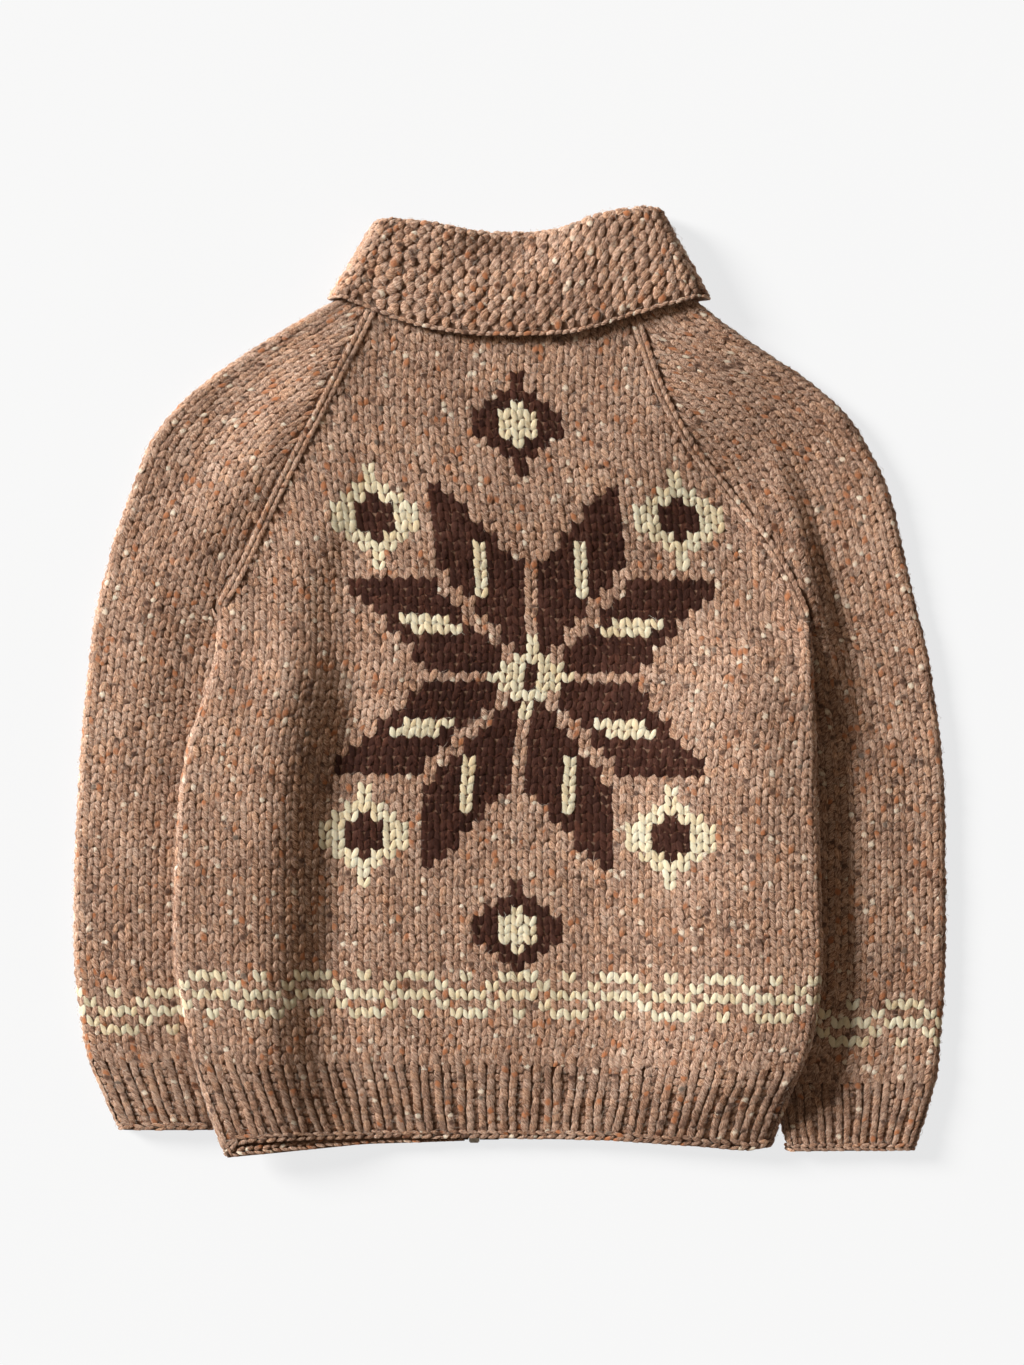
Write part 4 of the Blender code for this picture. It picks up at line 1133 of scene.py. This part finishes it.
def wandering(random, u, v, size):
    """Slow wandering of the stitches over a panel, in mm."""
    total = np.zeros_like(u, float)
    for wave in WANDER_WAVES:
        a, b, c = random.uniform(-1.0, 1.0, 3) * 2.0 * math.pi
        total += np.sin((u * math.cos(a) + v * math.sin(a)) / wave * 6.28 + b) * size / 3.0
        total += np.sin(v / wave * 9.0 + c + u * 2.4) * size / 4.0
    return total


def knit(strands, wales, courses, yarns, stitch, random, keep, sink=0.0):
    """Add the two legs of each stocking stitch. keep tells which legs, from their u and v."""
    leg, count = STOCKING, len(wales)
    pitch, course = strands.unit
    stray = stitch.unevenness / pitch
    slow = np.random.default_rng(stitch.seed)
    wander = wandering(slow, wales, courses, stitch.unevenness * leg.wander) / pitch
    for side in (-1.0, 1.0):
        u = wales + 0.5 + wander + random.normal(0.0, stray * leg.stray, count)
        v = courses - leg.drop + random.normal(0.0, stitch.unevenness / course * leg.stray, count)
        size = 1.0 + random.normal(0.0, leg.size_stray, count)
        top = v + stitch.leg_long * size
        spread = leg.tip_out + random.normal(0.0, leg.out_stray, count)
        lift = random.normal(0.0, leg.deep_stray, count) - sink
        chosen = keep(u + side * leg.middle_out, v + leg.middle_up)
        foot = (u + side * leg.foot_out, v, lift - leg.foot_deep)
        tip = (u + side * spread, top, lift - leg.tip_deep)
        foot, tip = ([values[chosen] for values in end] for end in (foot, tip))
        wide = (stitch.leg_wide * size)[chosen]
        strands.add(foot, tip, wide, stitch.leg_thick, leg.arch, side * leg.bow, yarns[chosen])


def rib(strands, valleys, stitch, random, sink=0.0):
    """Add the ribs between valleys, and the purl bumps in the valleys."""
    leg, covers = RIB_LEG, strands.panel.covers
    rows = np.arange(1 - RIB_COURSES, 1) + 0.1
    count = len(rows)
    for first in valleys:
        wander = leg.wander * np.sin(rows * random.uniform(*leg.wave) + random.uniform(*leg.phase))
        top = random.integers(*PURL.sink_from)
        for side in (-1.0, 1.0):
            u = first + 0.5 + wander + side * leg.out + random.normal(0.0, leg.u_stray, count)
            v = rows - leg.drop + random.normal(0.0, leg.v_stray, count)
            size = 1.0 + random.normal(0.0, leg.size_stray, count)
            lift = random.normal(0.0, leg.deep_stray, count) - sink
            chosen = covers(u, v)
            foot = (u - side * leg.foot_in, v, lift - leg.foot_deep)
            tip = (u + side * leg.tip_out, v + leg.long * size, lift - leg.tip_deep)
            foot, tip = ([values[chosen] for values in end] for end in (foot, tip))
            wide = (leg.wide * strands.unit[0] * size)[chosen]
            strands.add(foot, tip, wide, stitch.leg_thick * leg.thick, leg.arch, side * leg.bow)
        u = first + wander + random.normal(0.0, PURL.u_stray, count)
        v = rows + PURL.up
        chosen = covers(u, v)
        u, v = u[chosen], v[chosen]
        lift = -PURL.deep - PURL.sink * smooth(-v, top, top + PURL.sink_over) - sink
        start, end = (u - PURL.half, v, lift), (u + PURL.half, v + PURL.rise, lift)
        strands.add(start, end, PURL.wide, PURL.thick, PURL.arch)


def bind_off(strands, low, high, stitch, random, sink=0.0):
    """Add the chain of paired loops along the cast-off edge."""
    step = CHAIN.pitch / strands.unit[0]
    u = np.arange(low, high, step)
    for half in (-1.0, 1.0):
        level = CHAIN.up - RIB_COURSES + random.normal(0.0, CHAIN.v_stray, len(u))
        lift = random.normal(0.0, CHAIN.deep_stray, len(u)) - CHAIN.deep - sink
        foot = (u, level + half * CHAIN.foot_out, lift - CHAIN.foot_deep)
        tip = (u + CHAIN.long * step, level + half * CHAIN.tip_out, lift)
        strands.add(foot, tip, CHAIN.wide * stitch.leg_thick, CHAIN.thick, CHAIN.arch, half * CHAIN.bow)


def raglan_cord(side, random):
    """The raised chain of stitches along the back's raglan edge."""
    at, count = raglan_at(side)
    strands = Strands(Panel(at, None, 1.0, "tweed_wool"))
    rows = np.arange(1, int(count))
    inward, bulk = RAGLAN_CORD[side]
    for leg in (-1.0, 1.0):
        v = rows + random.normal(0.0, CORD.v_stray, len(rows))
        lift = random.normal(0.0, CORD.deep_stray, len(rows)) - CORD.deep
        foot = (inward + leg * CORD.foot_out, v - CORD.drop, lift)
        tip = (inward + leg * CORD.tip_out, v + CORD.rise, lift - CORD.tip_deep)
        strands.add(foot, tip, CORD.wide, CORD.thick * bulk, CORD.arch * bulk, leg * CORD.bow)
    return strands


def garter(strands, random):
    """Add the collar's garter bumps, and the chain along its edge."""
    span = strands.panel.span
    last = int(max(span(np.array([0.0, COLLAR_FALL]))[1]))
    ridges = np.arange(-last, last + 1)
    steps = np.arange(-FOLD_LENGTH - COLLAR_STAND + BUMP.pitch, COLLAR_FALL, BUMP.pitch)
    for side in (-1.0, 1.0):
        u, v = (grid.ravel() for grid in np.meshgrid(ridges, steps))
        u = u + side * BUMP.out + random.normal(0.0, BUMP.u_stray, len(u))
        v = v + BUMP.pitch * 0.25 * (1.0 + side) + random.normal(0.0, BUMP.v_stray, len(v))
        chosen = (np.abs(u) < span(v)[1] - BUMP.side_margin) & (v < COLLAR_FALL - BUMP.edge_margin)
        u, v = u[chosen], v[chosen]
        size = 1.0 + random.normal(0.0, BUMP.size_stray, len(u))
        lift = random.normal(0.0, BUMP.deep_stray, len(u)) - BUMP.deep
        reach = BUMP.long * size / 2
        lean = BUMP.lean + random.normal(0.0, BUMP.lean_stray, len(u))
        foot = (u - lean, np.minimum(v + reach, COLLAR_FALL), lift)
        tip = (u + lean, v - reach, lift)
        strands.add(foot, tip, BUMP.wide * size, BUMP.thick, BUMP.arch, side * BUMP.bow)
    edge = COLLAR_EDGE
    last = span(np.array([COLLAR_FALL]))[1][0]
    u = np.arange(-last, last - edge.end, edge.pitch)
    v = COLLAR_FALL - edge.up + random.normal(0.0, edge.v_stray, len(u))
    lift = random.normal(0.0, edge.deep_stray, len(u)) - edge.deep
    foot, tip = (u, v + edge.foot_down, lift), (u + edge.long, v - edge.tip_up, lift)
    strands.add(foot, tip, edge.thick, edge.thick, edge.arch, edge.bow)


def fuzz(name, panel, low, high, count, random, yarns, first=-math.inf, colour=None):
    """Loose hairs that stand out of the yarn between the courses low and high, from wale first on."""
    v = random.uniform(low, high, count)
    start, end = panel.span(v)
    start = np.maximum(start, first)
    u = start + (end - start) * random.random(count)
    turn, reach = random.uniform(0.0, math.pi, count), random.uniform(*LOOSE.reach, count)
    du, dv = np.cos(turn) * reach / panel.unit[0], np.sin(turn) * reach / panel.unit[1]
    lift = random.uniform(*LOOSE.depth, count)
    arch, bow = random.uniform(*LOOSE.arch, count), random.uniform(*LOOSE.bow, count)
    yarn = TWEED if colour is None else colour(np.floor(u), np.floor(v))
    strands = Strands(panel)
    strands.add((u - du, v - dv, lift), (u + du, v + dv, lift), LOOSE.thick, LOOSE.thick, arch, bow, yarn)
    return strands.build(name, HAIR, random, yarns, LOOSE.nap)


# ---------------------------------------------------------------- settings

def dye(name, description, colour):
    return FloatVectorProperty(name=name, description=description, subtype="COLOR", size=3,
                               min=0, max=1, default=colour)


class SweaterYarn(bpy.types.PropertyGroup):
    """Colours of the yarns."""
    tweed_dark: dye("Tweed, dark fibre", "Darkest wool in the tweed yarn", (0.1372, 0.075, 0.0515))
    tweed_mid: dye("Tweed", "Main wool of the tweed yarn", (0.392, 0.236, 0.1627))
    tweed_light: dye("Tweed, light fibre", "Lightest wool in the tweed yarn", (0.7056, 0.5, 0.3811))
    cream: dye("Cream", "Yarn of the waves and small diamonds", (0.72, 0.64, 0.46))
    chocolate: dye("Chocolate", "Yarn of the star", (0.045, 0.016, 0.011))
    heather: FloatProperty(
        name="Heather", description="Contrast between the tweed's light and dark fibres",
        default=3.0, min=0, max=5)


class SweaterStitch(bpy.types.PropertyGroup):
    """Sizes of one stitch."""
    leg_long: FloatProperty(
        name="Leg length", description="Length of a stitch's leg, in courses",
        default=1.4, min=1, max=2)
    leg_wide: FloatProperty(
        name="Leg width", description="Half the width of a leg, in millimetres",
        default=2.1, min=1, max=3)
    leg_thick: FloatProperty(
        name="Leg thickness", description="Half the thickness of a leg, in millimetres",
        default=0.9, min=0.5, max=3)
    unevenness: FloatProperty(
        name="Unevenness", description="How far stitches stray, in millimetres",
        default=0.28, min=0, max=1)
    seed: IntProperty(name="Seed", description="Start of the random draws", default=7, min=0)


def supplies(context):
    """The stitch sizes, the tweed, cream and chocolate yarns, and a fresh random source."""
    stitch, yarn = context.scene.sweater_stitch, context.scene.sweater_yarn
    tweed = wool("tweed_yarn", yarn.tweed_dark, yarn.tweed_mid, yarn.tweed_light, yarn.heather)
    cream = wool("cream_yarn", (0.42, 0.33, 0.20), yarn.cream, (0.85, 0.78, 0.62), 0.9)
    chocolate = wool("chocolate_yarn", (0.018, 0.007, 0.005), yarn.chocolate, (0.12, 0.05, 0.035), 1.1)
    return stitch, (tweed, cream, chocolate), np.random.default_rng(stitch.seed)


def rib_yarns(context):
    """The tweed darkened by RIB_SHADE, as painted shade for its deep ribs."""
    yarn = context.scene.sweater_yarn
    shades = (yarn.tweed_dark, yarn.tweed_mid, yarn.tweed_light)
    shades = [tuple(RIB_SHADE * part for part in shade) for shade in shades]
    return (wool("rib_yarn", *shades, yarn.heather),)


# ---------------------------------------------------------------- pieces

BACK = Panel(back_at, back_span, BACK_WALE, "tweed_wool")
WELT = Panel(welt_at, welt_span, WELT_RIB, "rib_wool")
COLLAR = Panel(collar_at, collar_span, MEAN_RIDGE, "collar_wool", course=1.0)
ZIP = Panel(zip_at, None, 1.0, "zip_metal", course=1.0)
HEM_COURSE = np.array([-float(RIB_COURSES)])


def leg_room(panel):
    """A test of whether a stocking stitch's leg lies on a panel."""
    return lambda u, v: panel.covers(u, v, STOCKING.margin)


def inside_raglans(u, v):
    """Whether a leg of the back lies between the raised bands of its raglan edges."""
    x, y, _ = (back_at(u, v, 0.0 * u) / MM).T
    near = np.full_like(u, RAGLAN_BAND + 1.0)
    for side, inward in INWARD.items():
        edge = np.interp(y, BODY[side + "_y"], BODY[side + "_x"])
        near = np.minimum(near, (x - edge) * inward * RAGLAN_SLOPE)
    return ((near > RAGLAN_BAND) | (BODY_COURSES.row(v) < UNDERARM)) & leg_room(BACK)(u, v)


def side_bends(width):
    """The shares of a panel's width that its two side folds take."""
    bend = TURN_LENGTH / width
    return (0.0, bend), (1.0 - bend, 1.0)


class SWEATER_OT_back(bpy.types.Operator):
    """Knit the back"""
    bl_idname = "sweater.back"
    bl_label = "Back"

    def execute(self, context):
        stitch, yarns, random = supplies(context)
        rows, steps = BACK_GRID
        levels = np.linspace(0.0, BODY_COURSES.count, rows)
        across = shares(steps, *side_bends(BACK_WIDE))
        cloth = BACK.ground("back_cloth", levels, across, STITCH_GROUND)
        wales, courses = BACK.stitches(int(BODY_COURSES.count))
        colour = wave_yarn(star_yarn(wales, courses), wales, courses, *WAVE_ON_BODY)
        for part, chosen in (("lower", courses < YOKE_COURSE), ("upper", courses >= YOKE_COURSE)):
            strands = Strands(BACK)
            knit(strands, wales[chosen], courses[chosen], colour[chosen], stitch, random, inside_raglans)
            strands.build("back_stitches_" + part, LEG, random, yarns)
        for side in SLEEVES:
            strands = raglan_cord(side, random)
            strands.build("raglan_" + side, LEG, random, yarns)
        top = BODY_COURSES.count - 1.0
        fuzz("back_fuzz", BACK, 0.0, top, HAIRS.back, random, yarns, colour=star_yarn)
        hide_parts("back")
        return {"FINISHED"}


class SWEATER_OT_fronts(bpy.types.Operator):
    """Knit the two fronts, which lie under the back"""
    bl_idname = "sweater.fronts"
    bl_label = "Fronts"

    def execute(self, context):
        stitch, yarns, random = supplies(context)
        rows, steps = FRONT_GRID
        across = shares(steps, side_bends(FRONT_WIDE)[1])
        for side in SLEEVES:
            name = "front_" + side
            panel = Panel(front_at(side), front_span(side), FRONT_WALE, "tweed_wool")
            top = BODY_COURSES.at_row(FRONT_TOP[side])
            cloth = panel.ground(name + "_cloth", np.linspace(0.0, top, rows), across, STITCH_GROUND)
            wales, courses = panel.stitches(int(top))
            colour = wave_yarn(TWEED, wales, courses, *WAVE_ON_FRONT)
            strands = Strands(panel)
            knit(strands, wales, courses, colour, stitch, random, leg_room(panel), UNDER_SINK)
            knitted = strands.build(name + "_stitches", COARSE_LEG, random, yarns)
            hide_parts(name)
        return {"FINISHED"}


def front_welt(side):
    """The panel of a front's rib, by ribs from the zip."""
    at, span = front_at(side), front_span(side)
    ratio = 2 * FRONT_WALES / WELT_RIBS
    return Panel(lambda u, v, lift: at(u * ratio, v, lift),
                 lambda v: tuple(end / ratio for end in span(v)), FRONT_RIB, "rib_wool")


class SWEATER_OT_welts(bpy.types.Operator):
    """Knit the hem's ribs"""
    bl_idname = "sweater.welts"
    bl_label = "Hem ribs"

    def execute(self, context):
        stitch, _, random = supplies(context)
        yarns = rib_yarns(context)
        across = shares(WELT_STEPS, *side_bends(WELT_WIDE))
        cloth = WELT.ground("back_welt_cloth", RIB_LEVELS, across, RIB_GROUND)
        strands = Strands(WELT)
        rib(strands, range(-1, WELT_RIBS + 1), stitch, random)
        low, high = (edge[0] for edge in welt_span(HEM_COURSE))
        bind_off(strands, low, high - CHAIN.end, stitch, random)
        knitted = strands.build("back_welt_ribs", LEG, random, yarns)
        hairs = fuzz("back_welt_fuzz", WELT, LOOSE.rib_low, 0.0, HAIRS.welt, random, yarns)
        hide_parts("back_welt")
        across = shares(HALF_WELT_STEPS, side_bends(WELT_WIDE / 2)[1])
        for side in SLEEVES:
            name = "front_" + side + "_welt"
            panel = front_welt(side)
            last = panel.span(HEM_COURSE)[1][0] - CHAIN.end
            cloth = panel.ground(name + "_cloth", RIB_LEVELS, across, RIB_GROUND)
            strands, inner = Strands(panel), Strands(panel)
            rib(strands, range(WELT_RIBS // 2 + 1), stitch, random, UNDER_SINK)
            bind_off(strands, 0.0, last, stitch, random, UNDER_SINK)
            knitted = strands.build(name + "_ribs", COARSE_LEG, random, yarns)
            bind_off(inner, 0.0, last, stitch, random, INNER_CHAIN)
            chain = inner.build(name + "_edge", COARSE_LEG, random, yarns, INNER_NAP)
            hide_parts(name)
        return {"FINISHED"}


def make_sleeve(side, stitch, yarns, random):
    name, count = "sleeve_" + side, SLEEVE_COURSES[side].count
    panel = Panel(sleeve_at(side), sleeve_span(side), SLEEVE_PITCH, "tweed_wool")
    rows, steps = SLEEVE_GRID
    middle, bend = (TURN_LENGTH / width for width in SLEEVE_WIDE)
    across = shares(steps, (0.0, bend), (0.5 - middle, 0.5 + middle), (1.0 - bend, 1.0))
    cloth = panel.ground(name + "_cloth", np.linspace(0.0, count, rows), across, STITCH_GROUND)
    wales, courses = panel.stitches(int(count))
    colour = wave_yarn(TWEED, wales, courses, *WAVE_ON_SLEEVE[side])
    top = wales >= -1
    for part, chosen, shape, sink in (("top", top, LEG, 0.0), ("under", ~top, COARSE_LEG, UNDER_SINK)):
        strands = Strands(panel)
        stitches = (wales[chosen], courses[chosen], colour[chosen])
        knit(strands, *stitches, stitch, random, leg_room(panel), sink)
        strands.build(name + "_stitches_" + part, shape, random, yarns)
    fuzz(name + "_fuzz", panel, 0.0, count - 1.0, HAIRS.sleeve, random, yarns,
                       HAIRS_FROM.sleeve)
    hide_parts("sleeve_" + side)


def make_cuff(side, stitch, yarns, random):
    name = "cuff_" + side
    panel = Panel(cuff_at(side), cuff_span(side), CUFF_MEAN_RIB, "rib_wool")
    cloth = panel.ground(name + "_cloth", RIB_LEVELS, shares(CUFF_STEPS, *CUFF_BENDS), RIB_GROUND)
    strands = Strands(panel)
    valleys = FIRST_VALLEY[side] + np.arange(-CUFF_VALLEYS, CUFF_VALLEYS)
    for chosen, sink in ((valleys > -1.0, 0.0), (valleys < -1.0, UNDER_SINK)):
        rib(strands, valleys[chosen], stitch, random, sink)
    low, high = (edge[0] for edge in panel.span(HEM_COURSE))
    bind_off(strands, 0.0, high - CHAIN.end, stitch, random)
    bind_off(strands, low, -CHAIN.end, stitch, random, UNDER_SINK)
    knitted = strands.build(name + "_ribs", LEG, random, yarns)
    hairs = fuzz(name + "_fuzz", panel, LOOSE.rib_low, 0.0, HAIRS.cuff, random, yarns,
                 HAIRS_FROM.cuff)
    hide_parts("cuff_" + side)


class SWEATER_OT_sleeves(bpy.types.Operator):
    """Knit the sleeves and cuffs"""
    bl_idname = "sweater.sleeves"
    bl_label = "Sleeves"

    def execute(self, context):
        stitch, yarns, random = supplies(context)
        for side in SLEEVES:
            make_sleeve(side, stitch, yarns, random)
            make_cuff(side, stitch, rib_yarns(context), random)
        return {"FINISHED"}


class SWEATER_OT_collar(bpy.types.Operator):
    """Knit the collar sideways in garter stitch"""
    bl_idname = "sweater.collar"
    bl_label = "Collar"

    def execute(self, context):
        _, yarns, random = supplies(context)
        on_stand, on_fold, on_fall = COLLAR_ROWS
        stand = np.linspace(-FOLD_LENGTH - COLLAR_STAND, -FOLD_LENGTH, on_stand)[:-1]
        fold = np.linspace(-FOLD_LENGTH, 0.0, on_fold)
        fall = np.linspace(COLLAR_FIRST, COLLAR_FALL, on_fall)
        levels = np.concatenate([stand, fold, fall])
        across = shares(COLLAR_STEPS, *COLLAR_BENDS)
        cloth = COLLAR.ground("collar_cloth", levels, across, GARTER_GROUND)
        strands = Strands(COLLAR)
        garter(strands, random)
        knitted = strands.build("collar_bumps", LEG, random, yarns, BUMP.nap)
        hairs = fuzz("collar_fuzz", COLLAR, HAIRS_FROM.collar, COLLAR_FALL - 2.0, HAIRS.collar, random,
                     yarns)
        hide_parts("collar")
        return {"FINISHED"}


class SWEATER_OT_zip(bpy.types.Operator):
    """Make the zip's teeth and give the zip its finish"""
    bl_idname = "sweater.zip"
    bl_label = "Zip"

    def execute(self, context):
        metal, cloth = zip_metal(), zip_cloth()
        for names, material in (
            (("tape_left", "tape_right", "chain"), cloth),
            (("box", "slider", "pull"), metal),
        ):
            for name in names:
                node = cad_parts["zip_" + name]
                node.data.materials.clear()
                node.data.materials.append(material)
        strands = Strands(ZIP)
        v = np.arange(TEETH.first, TEETH.last, TEETH.pitch)
        for side in (-1.0, 1.0):
            at, lift = v + TEETH.pitch * 0.25 * side, 0.0 * v + TEETH.lift
            inner, outer = 0.0 * v - side * TEETH.inner, 0.0 * v + side * TEETH.outer
            strands.add((inner, at, lift), (outer, at, lift), TEETH.wide, TEETH.thick)
        strands.build("zip_teeth", TOOTH, np.random.default_rng(TEETH.seed), (metal,))
        return {"FINISHED"}


def lay_floor(scene):
    sheet = bmesh.new()
    bmesh.ops.create_grid(sheet, x_segments=1, y_segments=1, size=FLOOR.half)
    mesh = bpy.data.meshes.new("floor")
    sheet.to_mesh(mesh)
    sheet.free()
    mesh.materials.append(floor_paper())
    floor = bpy.data.objects.new("floor", mesh)
    floor.location.z = -FLOOR.drop
    scene.collection.objects.link(floor)


def hang_lights(scene):
    """A dim warm sky, and one low, wide sun from the left."""
    world = bpy.data.worlds.new("studio")
    scene.world = world
    world.use_nodes = True
    background = world.node_tree.nodes["Background"]
    background.inputs["Color"].default_value = SKY.colour
    background.inputs["Strength"].default_value = SKY.strength
    sun = bpy.data.lights.new("key", "SUN")
    sun.energy = SUN.strength
    sun.angle = math.radians(SUN.width)
    sun.color = SUN.colour
    lamp = bpy.data.objects.new("key", sun)
    rise, turn = math.radians(SUN.rise), math.radians(SUN.turn)
    level = math.cos(rise)
    falls = Vector((math.cos(turn) * level, -math.sin(turn) * level, -math.sin(rise)))
    lamp.rotation_euler = falls.to_track_quat("-Z", "Y").to_euler()
    scene.collection.objects.link(lamp)


def set_camera(scene):
    camera = bpy.data.cameras.new("camera")
    camera.sensor_fit = "VERTICAL"
    camera.sensor_height = SENSOR
    camera.lens = LENS
    camera.clip_end = VIEW_FAR
    eye = bpy.data.objects.new("camera", camera)
    eye.location = (*VIEW_CENTRE, LENS / SENSOR * VIEW_HEIGHT + VIEW_LEVEL)
    scene.collection.objects.link(eye)
    scene.camera = eye
    scene.view_settings.view_transform = "Standard"


class SWEATER_OT_stage(bpy.types.Operator):
    """Set the floor, the light and the camera"""
    bl_idname = "sweater.stage"
    bl_label = "Stage"

    def execute(self, context):
        lay_floor(context.scene)
        hang_lights(context.scene)
        set_camera(context.scene)
        return {"FINISHED"}


class SWEATER_PT_panel(bpy.types.Panel):
    """The sweater's pieces, in the order in which they are made"""
    bl_idname = "SWEATER_PT_panel"
    bl_label = "Cowichan sweater"
    bl_space_type = "VIEW_3D"
    bl_region_type = "UI"
    bl_category = "Sweater"

    def draw(self, context):
        for name in STEPS:
            self.layout.operator("sweater." + name)


STEPS = ("back", "fronts", "welts", "sleeves", "collar", "zip", "stage")
CLASSES = (
    SweaterYarn, SweaterStitch, SWEATER_OT_back, SWEATER_OT_fronts, SWEATER_OT_welts,
    SWEATER_OT_sleeves, SWEATER_OT_collar, SWEATER_OT_zip, SWEATER_OT_stage, SWEATER_PT_panel,
)


def register():
    for cls in CLASSES:
        bpy.utils.register_class(cls)
    bpy.types.Scene.sweater_yarn = PointerProperty(type=SweaterYarn)
    bpy.types.Scene.sweater_stitch = PointerProperty(type=SweaterStitch)


def unregister():
    del bpy.types.Scene.sweater_stitch
    del bpy.types.Scene.sweater_yarn
    for cls in reversed(CLASSES):
        bpy.utils.unregister_class(cls)


def main():
    register()
    for name in STEPS:
        getattr(bpy.ops.sweater, name)()


if __name__ == "__main__":
    main()
